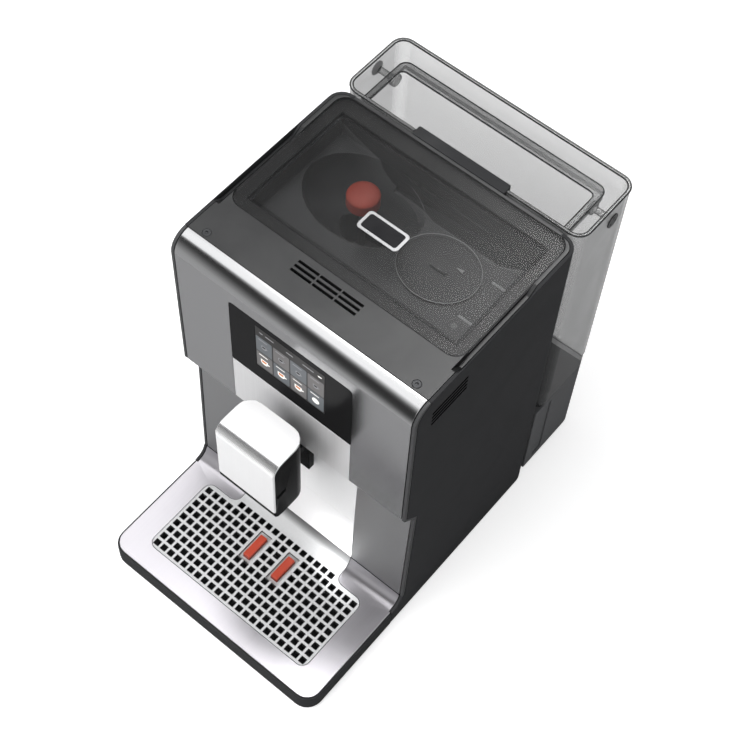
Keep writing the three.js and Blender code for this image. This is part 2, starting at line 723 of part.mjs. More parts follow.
function upperBurr() {
  const low = burrSplit + burr.toothDepth;
  const high = low + burr.thick;
  const { spindle } = grinder;
  const carrier = grinder.housingBore * Math.cos(Math.PI / innerTurnSteps) - fit;
  const profile = [
    [0, low], [burr.radius, low], [carrier, low + burr.toothDepth], [carrier, high], [burr.hub, high],
    [spindle, high + burr.hub], [spindle, knobBottom], [0, knobBottom],
  ];
  const body = turned(profile, grinder.x, grinderY, innerTurnSteps);
  const ports = [];
  for (let i = 0; i < burr.ports; i += 1) {
    const port = rod(burr.port, low - overrun, high + 2 * overrun, burr.portRing, 0, tinyTurnSteps);
    ports.push(port.rotateZ((i / burr.ports) * Math.PI * 2).translate(grinder.x, grinderY, 0));
  }
  const teeth = burrTeeth(low - burr.toothDepth / 2, low + burr.toothDepth);
  return cut(join(body, ...teeth), ...ports);
}

function lowerBurr() {
  const high = burrSplit - burr.toothDepth;
  const low = high - burr.thick;
  const { shaft } = grinder;
  const end = motorTop - burr.thick;
  const profile = [[0, end], [shaft, end], [shaft, low], [burr.radius, low], [burr.radius, high], [0, high]];
  const body = turned(profile, grinder.x, grinderY, innerTurnSteps);
  return join(body, ...burrTeeth(high - burr.toothDepth, high + burr.toothDepth / 2));
}

function grinderHousing() {
  const g = grinder;
  const c = powderChute;
  const end = motorTop + fit;
  const wall = housingWall;
  const profile = [
    [g.neckBore, end], [g.neck, end], [g.neck, housingFloor - wall], [g.housing, housingFloor],
    [g.housing, housingTop], [g.housingBore, housingTop], [g.housingBore, housingFloor + wall],
    [g.neckBore, housingFloor + wall - overrun], [g.neckBore, end],
  ];
  const cup = turned(profile, g.x, grinderY, innerTurnSteps);
  const start = g.x + g.housingBore - overrun / 2;
  const outer = polygon([
    [start, powderTop - c.width - wall], [start, powderTop], [c.end, powderEnd], [c.end, powderLow],
  ]);
  const inner = polygon([
    [start - 2 * overrun, powderTop - c.width], [start - 2 * overrun, powderTop - c.wall],
    [c.end + overrun, powderEnd - 2 * c.wall], [c.end + overrun, powderLow + c.wall],
  ]);
  const [near, far] = [powderY - c.width / 2, powderY + c.width / 2];
  const core = rod(
    g.housingBore + overrun / 2, housingFloor - wall, housingTop, g.x, grinderY, innerTurnSteps,
  );
  const outlet = cut(alongY(outer, near, far), core);
  return cut(join(cup, outlet), alongY(inner, near + c.wall, far - c.wall));
}

function grinderMotor() {
  const g = grinder;
  const shaftEnd = motorTop - burr.thick - fit;
  const profile = [
    [0, onDeck], [g.motor - overrun, onDeck], [g.motor, onDeck + overrun], [g.motor, motorTop - overrun],
    [g.motor - overrun, motorTop], [g.shaft + fit, motorTop], [g.shaft + fit, shaftEnd], [0, shaftEnd],
  ];
  return turned(profile, g.x, grinderY, innerTurnSteps);
}

// Brewing unit

function brewChamber() {
  const b = brew;
  const low = chamberBottom + fit;
  const profile = [
    [b.rod + fit, low], [b.radius - overrun, low], [b.radius, low + overrun], [b.radius, chamberTop],
    [b.bore, chamberTop], [b.bore, low + b.base], [b.rod + fit, low + b.base], [b.rod + fit, low],
  ];
  return turned(profile, b.x, brewY, innerTurnSteps);
}

function brewFrame() {
  const b = brew;
  const inner = b.radius + b.postGap;
  const outer = inner + b.post;
  const front = brewY - b.postWidth + fit;
  const rear = brewY + fit;
  const rodBore = b.rod + fit;
  return cut(
    join(
      slab(b.x - outer, b.x - inner, front, rear, onDeck, bridgeTop),
      slab(b.x + inner, b.x + outer, front, rear, onDeck, bridgeTop),
      slab(b.x - outer, b.x + outer, front, driveY + b.drive, bridgeBottom, bridgeTop),
      slab(b.x - outer, b.x + outer, front, rear, chamberBottom - b.shelf, chamberBottom),
    ),
    rod(rodBore, bridgeBottom - overrun, bridgeTop + overrun, b.x, brewY),
    rod(rodBore, chamberBottom - b.shelf - overrun, chamberBottom + overrun, b.x, brewY),
  );
}

function brewDrive() {
  const high = bridgeBottom - fit;
  return rod(brew.drive, high - brew.driveLength, high, brew.x, driveY);
}

function upperPiston() {
  const b = brew;
  const low = chamberTop + b.pistonGap;
  const high = low + b.pistonThick;
  const radius = b.bore - fit;
  const profile = [[0, low], [radius, low], [radius, high], [b.rod, high], [b.rod, brewTop], [0, brewTop]];
  return turned(profile, b.x, brewY, innerTurnSteps);
}

function ejectorPiston() {
  const b = brew;
  const low = chamberBottom + b.base + 2 * fit;
  const high = low + b.pistonThick;
  const end = deckTop + b.pistonThick + fit;
  const radius = b.bore - fit;
  const profile = [[0, end], [b.rod, end], [b.rod, low], [radius, low], [radius, high], [0, high]];
  return turned(profile, b.x, brewY, innerTurnSteps);
}

// Water circuit and boards

function waterPump() {
  const z = onDeck + pump.radius;
  const body = rodAlongY(pump.radius, pump.front + pump.neckLength, pumpRear - pump.neckLength, pumpX, z);
  const neck = rodAlongY(pump.neck, pump.front, pumpRear, pumpX, z);
  return join(body, neck);
}

function thermoblock() {
  const h = heater;
  const top = onDeck + h.height;
  const block = slab(heaterLeft, heaterRight, h.front, heaterRear, onDeck, top);
  const pitch = (heaterRear - h.front) / h.finCount;
  const slots = [];
  for (let i = 0; i < h.finCount; i += 1) {
    const front = h.front + pitch * i + (pitch - h.fin) / 2;
    slots.push(slab(
      heaterLeft - overrun, heaterRight + overrun, front, front + h.fin, top - h.finDepth, top + overrun,
    ));
  }
  return cut(block, ...slots);
}

function powerBoard() {
  const x = sideInner - power.sideGap;
  return slab(x, x + power.thick, power.front, power.rear, onDeck, onDeck + power.height);
}

function tube(points, radius, steps) {
  const corners = points.map(([x, y, z]) => new THREE.Vector3(x, y, z));
  const path = new THREE.CatmullRomCurve3(corners, false, "centripetal");
  const section = new THREE.Shape();
  for (let i = 0; i < pipe.sides; i += 1) {
    const angle = (i / pipe.sides) * Math.PI * 2;
    const [u, v] = [radius * Math.cos(angle), radius * Math.sin(angle)];
    if (i === 0) section.moveTo(u, v);
    else section.lineTo(u, v);
  }
  return new THREE.ExtrudeGeometry(section, { steps, bevelEnabled: false, extrudePath: path });
}

function waterHose() {
  const bend = pipe.hoseBend;
  const rise = tankBase.top - tankBase.wall - fit;
  const points = [
    [pumpX, pumpRear + fit, pumpZ],
    [pumpX, pumpRear + bend / 3, pumpZ],
    [hoseLane, grinderY - bend / 2, pumpZ],
    [hoseLane, grinderY + bend / 2, pumpZ],
    [pumpX, hoseDeckY - bend / 4, pumpZ - bend / 8],
    [pumpX, hoseDeckY, deckTop],
    [pumpX, hoseDeckY + bend / 4, hoseLow + bend / 6],
    [pumpX, rearInner, hoseLow],
    [pumpX, machine.rear + bend / 2, hoseLow],
    [pumpX + bend / 2, socketY, hoseLow],
    [-bend, socketY, hoseLow],
    [0, socketY, hoseLow + bend / 3],
    [0, socketY, rise],
  ];
  return tube(points, pipe.hoseRadius, pipe.hoseSteps);
}

function hotWaterPipe() {
  const front = pump.front - fit;
  const heaterX = (heaterLeft + heaterRight) / 2;
  const { bend } = pipe;
  const lane = pump.front - 2 * bend;
  const high = pumpZ + bend;
  const points = [
    [pumpX, front, pumpZ],
    [pumpX, front - bend / 2, pumpZ],
    [pumpX + bend, lane, pumpZ],
    [0, lane, pumpZ + bend / 2],
    [heaterX - bend, lane, high],
    [heaterX, lane + bend, high],
    [heaterX, heater.front - bend / 2, high],
    [heaterX, heater.front - fit, high],
  ];
  return tube(points, pipe.radius, pipe.pipeSteps);
}

// Chassis

function baseChassis() {
  const apronHalf = half - chassis.inset;
  const tailHalf = half - chassis.tailInset;
  const apronFront = trayFront + chassis.frontInset;
  const tailFront = machine.rear - chassis.railRearInset;
  const apronRear = tray.wall + chassis.rail;
  const apron = slab(-apronHalf, apronHalf, apronFront, apronRear, machine.bottom, chassisTop);
  const plate = alongZ(innerPlan(tray.wall), machine.bottom, chassisTop);
  const tail = slab(-tailHalf, tailHalf, tailFront, baseRear - chassis.rearInset, machine.bottom, chassisTop);
  const rail = slab(
    railInner, railInner + chassis.rail, chassis.railFront, tailFront, machine.bottom, deckBottom - fit,
  );
  return join(plate, apron, tail, rail, mirroredX(rail));
}

function machineDeck() {
  const plate = alongZ(innerPlan(deck.front), deckBottom, deckTop);
  const drop = brew.radius - deck.rim;
  return cut(
    plate,
    slab(brew.x - drop, brew.x + drop, brewY - drop, brewY + drop, deckBottom - overrun, deckTop + overrun),
    rod(pipe.hoseRadius * 2, deckBottom - overrun, deckTop + overrun, pumpX, hoseDeckY),
  );
}

function footPad(side, y) {
  const { radius, edge } = foot;
  const profile = [[0, 0], [radius - edge, 0], [radius, edge], [radius, machine.bottom], [0, machine.bottom]];
  return turned(profile, side * (half - foot.inset), y, smallTurnSteps);
}

// Drip tray drawer

function trayBase() {
  const front = trayFront;
  const outline = rounded(-half, half, front, tray.split - fit, [tray.corner, tray.corner, 0, 0]);
  const block = alongZ(outline, tray.skirt, shelfBottom);
  const tailFront = tray.split - 2 * overrun;
  const tail = slab(-trayRearHalf, trayRearHalf, tailFront, tray.rearEnd, tray.floorBottom, tray.rearWall);
  const skirt = half - tray.skirtWall;
  const underRadius = tray.corner - tray.skirtWall;
  const underRadii = [underRadius, underRadius, 0, 0];
  const under = rounded(-skirt, skirt, front + tray.skirtWall, tray.split + overrun, underRadii);
  const bedEdge = grilleHalf + fit;
  const bed = rounded(-bedEdge, bedEdge, grilleFront - fit, grille.shoulder + fit, grille.corner);
  const tongueFront = grille.shoulder - overrun;
  const high = shelfBottom + overrun;
  const tongueRoom = slab(
    -centreHalf, centreHalf, tongueFront, tray.tongueEnd, tray.floorTop, high,
  );
  const basinHalf = grilleHalf - tray.basinInset;
  const basinRear = grille.shoulder - tray.wall;
  const basin = rounded(-basinHalf, basinHalf, grilleFront + tray.basinInset, basinRear, grille.corner);
  const ribInner = groundsHalf + fit;
  const ribOuter = ribInner + tray.wall;
  const bayRear = tray.rearEnd - tray.wall;
  const bay = (x0, x1) => slab(x0, x1, tray.wall, bayRear, tray.floorTop, tray.rearWall + overrun);
  return cut(
    join(block, tail),
    alongZ(under, tray.skirt - overrun, tray.floorBottom),
    alongZ(bed, tray.ledge - fit, high),
    alongZ(basin, tray.floorTop, shelfBottom),
    tongueRoom,
    bay(-ribInner, ribInner),
    bay(ribOuter, trayRearHalf - tray.wall),
    bay(tray.wall - trayRearHalf, -ribOuter),
  );
}

// The section of the tray's top skin: flat, then curling up to the foot of the columns
function traySkin(front, lowFront) {
  const shape = new THREE.Shape();
  const low = shelfBottom;
  const rise = face.foot - 2 * fit;
  shape.moveTo(front, tray.top);
  shape.lineTo(tray.split, tray.top);
  shape.quadraticCurveTo(tray.curlY, tray.top, tray.curlEnd, rise);
  shape.lineTo(tray.curlEnd, rise - tray.coverThick);
  shape.quadraticCurveTo(tray.curlY, low, tray.split, low);
  if (lowFront) {
    shape.lineTo(grille.shoulder + fit, low);
    shape.lineTo(grille.shoulder + fit, tray.ledge);
    shape.lineTo(front, tray.ledge);
  } else {
    shape.lineTo(front, low);
  }
  return shape;
}

// The grille's outline, with its tongue and round shoulders; grow widens it for the window around it
function grilleOutline(grow, tongueEnd) {
  const edge = grilleHalf + grow;
  const front = grilleFront - grow;
  const shoulder = grille.shoulder + grow;
  const tongue = centreHalf + grow;
  const r = grille.corner + grow;
  const t = grille.tongueRound - grow;
  const shape = new THREE.Shape();
  shape.moveTo(-edge + r, front);
  shape.lineTo(edge - r, front);
  shape.absarc(edge - r, front + r, r, -Math.PI / 2, 0);
  shape.lineTo(edge, shoulder - r);
  shape.absarc(edge - r, shoulder - r, r, 0, Math.PI / 2);
  shape.lineTo(tongue + t, shoulder);
  shape.absarc(tongue + t, shoulder + t, t, -Math.PI / 2, -Math.PI, true);
  shape.lineTo(tongue, tongueEnd);
  shape.lineTo(-tongue, tongueEnd);
  shape.lineTo(-tongue, shoulder + t);
  shape.absarc(-tongue - t, shoulder + t, t, 0, -Math.PI / 2, true);
  shape.lineTo(-edge + r, shoulder);
  shape.absarc(-edge + r, shoulder - r, r, Math.PI / 2, Math.PI);
  shape.lineTo(-edge, front + r);
  shape.absarc(-edge + r, front + r, r, Math.PI, Math.PI * 1.5);
  return shape;
}

function trayCover() {
  const edge = half - tray.coverEdge;
  const front = trayFront + tray.coverEdge;
  const corner = tray.corner - tray.coverEdge;
  const inner = sideInner - 2 * fit;
  const plan = new THREE.Shape();
  plan.moveTo(-edge + corner, front);
  plan.lineTo(edge - corner, front);
  plan.absarc(edge - corner, front + corner, corner, -Math.PI / 2, 0);
  plan.lineTo(edge, tray.split - fit);
  plan.lineTo(inner, tray.split - fit);
  plan.lineTo(inner, machine.rear);
  plan.lineTo(-inner, machine.rear);
  plan.lineTo(-inner, tray.split - fit);
  plan.lineTo(-edge, tray.split - fit);
  plan.lineTo(-edge, front + corner);
  plan.absarc(-edge + corner, front + corner, corner, Math.PI, Math.PI * 1.5);
  const skin = alongX(traySkin(front - overrun, false), -half, half);
  const window = alongZ(grilleOutline(fit, machine.rear), tray.ledge, face.foot + overrun);
  return cut(meet(skin, alongZ(plan, 0, machine.height)), window);
}

function dripGrille() {
  const bottom = tray.ledge - overrun;
  const top = face.foot + overrun;
  const hole = (x, y, width, length) => slab(
    x - width / 2, x + width / 2, y - length / 2, y + length / 2, bottom, top,
  );
  const holeWidth = pitchX - grille.bar;
  const holeLength = pitchY - grille.crossBar;
  const bayX = (float.bayWidth + holeWidth) / 2;
  const bayY = (float.bayLength + holeLength) / 2;
  const inBay = (x, y) => Math.abs(Math.abs(x) - float.x) < bayX && Math.abs(y - float.y) < bayY;
  const columnX = (column, columns) => (column - (columns - 1) / 2) * pitchX;
  const holes = [];
  for (let row = 0; row < rows; row += 1) {
    const y = grille.rearRow - row * pitchY;
    for (let column = 0; column < columns; column += 1) {
      const x = columnX(column, columns);
      if (!inBay(x, y)) holes.push(hole(x, y, holeWidth, holeLength));
    }
  }
  for (let column = 0; column < tongueColumns; column += 1) {
    holes.push(hole(columnX(column, tongueColumns), grille.tongueRow, holeWidth, holeLength));
  }
  for (const side of [-1, 1]) {
    holes.push(hole(side * float.x, float.y, float.width + 2 * fit, float.length + 2 * fit));
  }
  const plate = alongZ(grilleOutline(0, machine.rear), bottom, top);
  const section = alongX(traySkin(grilleFront - overrun, true), -half, half);
  const bays = [-1, 1].map((side) => alongZ(
    rounded(
      side * float.x - float.bayWidth / 2, side * float.x + float.bayWidth / 2,
      float.y - float.bayLength / 2, float.y + float.bayLength / 2, float.corner,
    ),
    float.bayFloor, tray.top + overrun,
  ));
  return cut(meet(plate, section), BufferGeometryUtils.mergeGeometries(holes), ...bays);
}

function waterFloat(side) {
  const x = side * float.x;
  const [a, b] = [float.width / 2, float.length / 2];
  const low = tray.floorTop + fit;
  const [c, d] = [a + float.flange, b + float.flange];
  const stem = alongZ(rounded(x - a, x + a, float.y - b, float.y + b, float.corner), low, float.top);
  return join(stem, slab(x - c, x + c, float.y - d, float.y + d, low, low + float.flangeHeight));
}

function groundsContainer() {
  const { wall } = grounds;
  const side = groundsHalf;
  const top = groundsTop;
  const rear = tray.rearEnd - grounds.rearGap;
  const low = tray.floorTop + fit;
  const frontLow = tray.wall + face.footDepth - fit;
  const frontHigh = faceY(top) + face.plate + fit;
  const section = (inset, floor, end) => polygon([
    [frontLow + inset, floor], [frontLow + inset, face.foot],
    [frontHigh + inset, top], [frontHigh + inset, end],
    [rear - inset, end], [rear - inset, floor],
  ]);
  const body = alongX(section(0, low, top), -side, side);
  return cut(body, alongX(section(wall, low + wall, top + overrun), wall - side, side - wall));
}

// Coffee spout

function spoutPlan() {
  const radii = [spout.frontCorner, spout.frontCorner, spout.rearCorner, spout.rearCorner];
  return rounded(-spout.half, spout.half, spout.front, spout.rear, radii);
}

function spoutShell() {
  const s = spout;
  const shape = new THREE.Shape();
  shape.moveTo(s.rear, spoutTop);
  shape.lineTo(s.front + s.roll, spoutTop);
  shape.absarc(s.front + s.roll, spoutTop - s.roll, s.roll, Math.PI / 2, Math.PI);
  shape.lineTo(s.front, spoutBottom);
  shape.lineTo(s.front + s.skin, spoutBottom);
  shape.absarc(s.front + s.roll, spoutTop - s.roll, s.roll - s.skin, Math.PI, Math.PI / 2, true);
  shape.lineTo(s.rear, spoutTop - s.skin);
  return meet(alongX(shape, -s.half, s.half), alongZ(spoutPlan(), 0, machine.height));
}

function spoutCore() {
  const s = spout;
  const shape = new THREE.Shape();
  const inner = s.front + s.skin;
  const lipBottom = spoutBottom - s.lip;
  const belly = spoutBottom - s.bellyDrop;
  shape.moveTo(s.rear, spoutTop - s.skin);
  shape.lineTo(s.front + s.roll, spoutTop - s.skin);
  shape.absarc(s.front + s.roll, spoutTop - s.roll, s.roll - s.skin, Math.PI / 2, Math.PI);
  shape.lineTo(inner, spoutBottom);
  shape.lineTo(s.front, spoutBottom);
  shape.lineTo(s.front, lipBottom);
  shape.quadraticCurveTo(s.front, belly, s.bellyStart, belly);
  shape.lineTo(s.rear, belly);
  const body = meet(alongX(shape, -s.half, s.half), alongZ(spoutPlan(), 0, machine.height));
  const low = belly - nozzle.drop;
  const slotShape = rounded(
    -sideSlot.length / 2, sideSlot.length / 2, -sideSlot.width / 2, sideSlot.width / 2, sideSlot.end,
  );
  const nozzles = [];
  const cuts = [];
  for (const side of [-1, 1]) {
    const x = side * nozzle.spread;
    const slot = alongX(slotShape, -sideSlot.depth, sideSlot.depth).rotateX(sideSlot.lean);
    nozzles.push(rod(nozzle.radius, low, spoutBottom, x, nozzle.y));
    cuts.push(rod(nozzle.bore, low - overrun, spoutBottom, x, nozzle.y));
    cuts.push(slot.translate(side * s.half, sideSlot.y, faceBottom + sideSlot.rise));
  }
  return cut(join(body, ...nozzles), ...cuts);
}

function spoutCarriage() {
  const c = carriage;
  const front = frontFrame.channelFront + fit;
  const rear = frontFrame.channelRear - fit;
  const plate = slab(-c.half, c.half, front, rear, faceBottom - c.drop, faceBottom + c.rise);
  const armBottom = faceBottom - c.armDrop;
  const arm = slab(-c.armHalf, c.armHalf, spout.rear, front + overrun, armBottom, armBottom + c.armHeight);
  return join(plate, arm);
}

// Water tank

function tankBaseBody() {
  const t = tankBase;
  const front = machine.rear + fit;
  const low = chassisTop + fit;
  const waist = baseRear - t.waistInset;
  const heel = baseRear - t.heelInset;
  const section = (inset, bottom) => {
    const shape = new THREE.Shape();
    shape.moveTo(front + inset, bottom);
    shape.lineTo(front + inset, t.top - inset);
    shape.lineTo(waist - inset, t.top - inset);
    shape.lineTo(baseRear - inset, t.bend);
    shape.lineTo(baseRear - inset, t.toe);
    shape.quadraticCurveTo(baseRear - inset, low, heel - inset, bottom);
    return shape;
  };
  const plan = (inset) => {
    const radius = t.corner - inset;
    const side = baseHalf - inset;
    return rounded(-side, side, front - overrun, baseRear - inset, [0, 0, radius, radius]);
  };
  const outer = meet(alongX(section(0, low), -baseHalf, baseHalf), alongZ(plan(0), 0, t.top));
  const inner = meet(
    alongX(section(t.wall, low - overrun), -baseHalf, baseHalf), alongZ(plan(t.wall), -overrun, t.top),
  );
  const near = machine.rear + sideRecess.start;
  const recess = slab(
    baseHalf - sideRecess.depth, baseHalf + overrun, near, near + sideRecess.width,
    sideRecess.bottom, t.top - sideRecess.drop,
  );
  return cut(
    outer,
    inner,
    recess,
    mirroredX(recess),
    rod(socket.bore, t.top - 2 * t.wall, t.top + overrun, 0, socketY),
    rodAlongY(pipe.hoseRadius + 2 * fit, front - overrun, front + 2 * t.wall, pumpX, hoseLow),
    rodAlongY(gland.radius + fit / 2, baseRear - 3 * t.wall, baseRear + overrun, glandX, gland.z),
  );
}

function mainsGland() {
  const end = baseRear - fit;
  const body = rodAlongY(gland.radius, end - gland.length, end, glandX, gland.z);
  return cut(body, rodAlongY(gland.bore, end - gland.length / 2, end + overrun, glandX, gland.z));
}

function waterTank() {
  const t = tank;
  const low = tankBase.top + fit;
  const bandBottom = tankBase.top + t.bandRise;
  const bandTop = bandBottom + t.bandHeight;
  const plan = (inset) => rounded(
    inset - tankHalf, tankHalf - inset, tankFront + inset, tankRear - inset, t.corner - inset,
  );
  const outer = join(
    alongZ(plan(t.bandStep), low, bandBottom),
    alongZ(plan(t.bandStep / 2), bandBottom, bandTop),
    alongZ(plan(0), bandTop, tankTop),
  );
  const inner = join(
    alongZ(plan(t.wall + t.bandStep), low + t.floor, bandTop),
    alongZ(plan(t.wall), bandTop, tankTop + overrun),
  );
  const notchHalf = gripTab.half + fit;
  const notch = slab(
    -notchHalf, notchHalf, tankFront - overrun, tankFront + 2 * t.wall,
    handleTop - overrun, tankTop + overrun,
  );
  const pivot = rodAlongX(handle.pin + fit, -half, half, pivotY, pivotZ);
  const valveHole = rod(valve.stem + fit, low - overrun, low + t.floor + overrun, 0, socketY);
  return cut(outer, inner, notch, pivot, valveHole);
}

function tankValve() {
  const v = valve;
  const seat = tankBase.top + fit + tank.floor + fit;
  const end = tankBase.top - tankBase.wall + fit;
  const top = tankBase.top + v.rise;
  const profile = [
    [0, end], [v.stem, end], [v.stem, seat], [v.head, seat], [v.head, seat + v.headThick],
    [v.stem, seat + v.headThick], [v.stem, top], [0, top],
  ];
  return turned(profile, 0, socketY, smallTurnSteps);
}

function tankHandle() {
  const h = handle;
  const low = handleTop - h.bar;
  const inner = handleHalf - h.leg;
  const skirt = handleHalf - h.rearSkirt;
  const windowFront = handleFront + h.frontBar;
  const outline = rounded(-handleHalf, handleHalf, handleFront, handleRear, [fit, fit, h.corner, h.corner]);
  const window = rounded(-inner, inner, windowFront, handleRear - h.rearBar, [fit, fit, h.leg, h.leg]);
  const hollow = slab(
    -skirt, skirt, windowFront, handleRear - h.rearSkirt, low - overrun, handleTop - h.rearSkirt,
  );
  const opening = alongZ(window, low - overrun, handleTop + overrun);
  const frame = cut(alongZ(outline, low, handleTop), opening, hollow);
  const ear = rodAlongX(h.ear, inner, handleHalf, pivotY, pivotZ);
  const pin = rodAlongX(h.pin, inner, tankHalf + fit, pivotY, pivotZ);
  return join(frame, ear, pin, mirroredX(ear), mirroredX(pin));
}

function pivotCap() {
  const h = handle;
  const inner = tankHalf + fit;
  const outer = inner + h.capThick;
  const holes = [];
  for (let i = 0; i < h.capHoles; i += 1) {
    const angle = (i / h.capHoles) * Math.PI * 2 + Math.PI / 2;
    const y = pivotY + h.capHoleRing * Math.cos(angle);
    const z = pivotZ + h.capHoleRing * Math.sin(angle);
    holes.push(rodAlongX(h.capHole, (inner + outer) / 2, outer + overrun, y, z, tinyTurnSteps));
  }
  return cut(rodAlongX(h.cap, inner, outer, pivotY, pivotZ), ...holes);
}

function handleGrip() {
  const { half: edge, gap, depth, corner } = gripTab;
  const front = machine.rear + gap;
  const radii = [corner / 2, corner / 2, corner, corner];
  return alongZ(rounded(-edge, edge, front, front + depth, radii), handleTop, tankTop);
}

// Finishes

const finish = {
  brushedSteel: { color: 0x919294, roughness: 0.35, metalness: 0.9 },
  chrome: { color: 0xe6e7e8, roughness: 0.12, metalness: 1 },
  trimGrey: { color: 0xa9abad, roughness: 0.35, metalness: 0.7 },
  darkPlastic: { color: 0x3a3b3c, roughness: 0.5, metalness: 0 },
  blackPlastic: { color: 0x1b1b1c, roughness: 0.45, metalness: 0 },
  blackGlass: { color: 0x262728, roughness: 0.15, metalness: 0 },
  screen: { color: 0x5b5657, roughness: 0.25, metalness: 0 },
  smoked: { color: 0x3c3d3e, roughness: 0.2, metalness: 0 },
  lightPlastic: { color: 0xd9dadb, roughness: 0.4, metalness: 0 },
  red: { color: 0xb43e2a, roughness: 0.45, metalness: 0 },
  clear: { color: 0xbfc1c1, roughness: 0.1, metalness: 0 },
  rubber: { color: 0x222222, roughness: 0.9, metalness: 0 },
  innerPlastic: { color: 0x6b6d70, roughness: 0.6, metalness: 0 },
  castMetal: { color: 0x9a9c9e, roughness: 0.5, metalness: 0.8 },
  boardGreen: { color: 0x2c5a3c, roughness: 0.6, metalness: 0 },
  copper: { color: 0xb06a42, roughness: 0.35, metalness: 0.9 },
  silicone: { color: 0xcfd2d0, roughness: 0.6, metalness: 0 },
};

// Assembly

const machineGroup = new THREE.Group();

function place(name, geometry, look) {
  const mesh = new THREE.Mesh(geometry, new THREE.MeshStandardMaterial(finish[look]));
  mesh.name = name;
  machineGroup.add(mesh);
}

function placePair(name, geometry, look) {
  place(`right_${name}`, geometry, look);
  place(`left_${name}`, mirroredX(geometry), look);
}

place("base_chassis", baseChassis(), "blackPlastic");
place("machine_deck", machineDeck(), "innerPlastic");
placePair("side_panel", sidePanel(), "darkPlastic");
placePair("side_trim", sideTrim(), "trimGrey");
place("rear_panel", rearPanel(), "darkPlastic");
place("top_cover", topCover(), "darkPlastic");
place("front_panel", frontPanel(), "brushedSteel");
place("front_frame", frontFrameBody(), "blackPlastic");
placePair("column", column(), "brushedSteel");
place("spout_plate", spoutPlate(), "chrome");
place("backsplash", backsplash(), "chrome");
place("display_panel", displayPanel(), "blackGlass");
place("display_screen", displayScreen(), "screen");
place("control_board", controlBoard(), "boardGreen");
place("right_cover_screw", coverScrew(1), "castMetal");
place("left_cover_screw", coverScrew(-1), "castMetal");
place("front_right_foot", footPad(1, trayFront + foot.frontInset), "rubber");
place("front_left_foot", footPad(-1, trayFront + foot.frontInset), "rubber");
place("rear_right_foot", footPad(1, baseRear - foot.rearInset), "rubber");
place("rear_left_foot", footPad(-1, baseRear - foot.rearInset), "rubber");

place("bean_hopper", beanHopper(), "smoked");
place("chute_lid", chuteLid(), "smoked");
place("hopper_lid", hopperLid(), "smoked");
place("lid_badge", lidBadge(), "chrome");
place("grinder_knob", grinderKnob(), "red");
place("upper_burr", upperBurr(), "castMetal");
place("lower_burr", lowerBurr(), "castMetal");
place("grinder_housing", grinderHousing(), "innerPlastic");
place("grinder_motor", grinderMotor(), "castMetal");

place("brew_chamber", brewChamber(), "innerPlastic");
place("brew_frame", brewFrame(), "castMetal");
place("brew_drive", brewDrive(), "castMetal");
place("upper_piston", upperPiston(), "innerPlastic");
place("ejector_piston", ejectorPiston(), "innerPlastic");
place("water_pump", waterPump(), "castMetal");
place("thermoblock", thermoblock(), "castMetal");
place("power_board", powerBoard(), "boardGreen");
place("water_hose", waterHose(), "silicone");
place("hot_water_pipe", hotWaterPipe(), "copper");

place("spout_shell", spoutShell(), "chrome");
place("spout_core", spoutCore(), "blackPlastic");
place("spout_carriage", spoutCarriage(), "blackPlastic");

place("tray_base", trayBase(), "blackPlastic");
place("tray_cover", trayCover(), "brushedSteel");
place("drip_grille", dripGrille(), "lightPlastic");
place("right_float", waterFloat(1), "red");
place("left_float", waterFloat(-1), "red");
place("grounds_container", groundsContainer(), "blackPlastic");
place("grounds_front", groundsFront(), "chrome");

place("tank_base", tankBaseBody(), "darkPlastic");
place("mains_gland", mainsGland(), "rubber");
place("water_tank", waterTank(), "clear");
place("tank_valve", tankValve(), "innerPlastic");
place("tank_handle", tankHandle(), "smoked");
place("handle_grip", handleGrip(), "darkPlastic");
placePair("pivot_cap", pivotCap(), "clear");

machineGroup.position.set(0, -middleY, 0);

const coffeeMachine = new THREE.Group();
coffeeMachine.add(machineGroup);

export default coffeeMachine;
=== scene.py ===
# Bean to cup coffee machine: finishes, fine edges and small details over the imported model.
import json
import math

import bpy
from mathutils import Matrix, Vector


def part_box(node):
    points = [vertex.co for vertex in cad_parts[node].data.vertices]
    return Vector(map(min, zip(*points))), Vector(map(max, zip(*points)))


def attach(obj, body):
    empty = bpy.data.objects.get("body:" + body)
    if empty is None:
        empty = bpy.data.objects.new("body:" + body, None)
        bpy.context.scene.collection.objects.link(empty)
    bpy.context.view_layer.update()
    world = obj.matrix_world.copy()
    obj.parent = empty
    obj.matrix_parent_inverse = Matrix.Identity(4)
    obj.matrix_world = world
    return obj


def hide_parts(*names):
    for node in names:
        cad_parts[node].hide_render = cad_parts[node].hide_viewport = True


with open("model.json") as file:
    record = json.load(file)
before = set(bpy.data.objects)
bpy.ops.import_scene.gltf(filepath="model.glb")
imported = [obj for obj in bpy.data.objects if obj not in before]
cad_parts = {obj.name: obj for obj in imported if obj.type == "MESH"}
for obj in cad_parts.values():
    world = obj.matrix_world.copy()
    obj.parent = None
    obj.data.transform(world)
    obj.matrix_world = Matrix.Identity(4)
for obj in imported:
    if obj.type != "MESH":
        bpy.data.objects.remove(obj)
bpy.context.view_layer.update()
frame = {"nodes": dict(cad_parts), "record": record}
nodes = frame["nodes"]
slotOf = {part["node"]: part["material_slot"] for part in frame["record"]["subparts"]}
bodyOf = {name: body for body, names in frame["record"]["behaviour"]["bodies"].items() for name in names}
mm = 0.001
rearShift = 0.082  # the front panel stands this far before the middle of the machine
mergeReach = 0.000002  # corners closer than this are one
bumpDepth = 0.0002


# Helpers that select, place and shape pieces

def deselectAll():
    if bpy.context.object and bpy.context.object.mode != "OBJECT":
        bpy.ops.object.mode_set(mode="OBJECT")
    bpy.ops.object.select_all(action="DESELECT")


def activate(piece):
    deselectAll()
    piece.select_set(True)
    bpy.context.view_layer.objects.active = piece


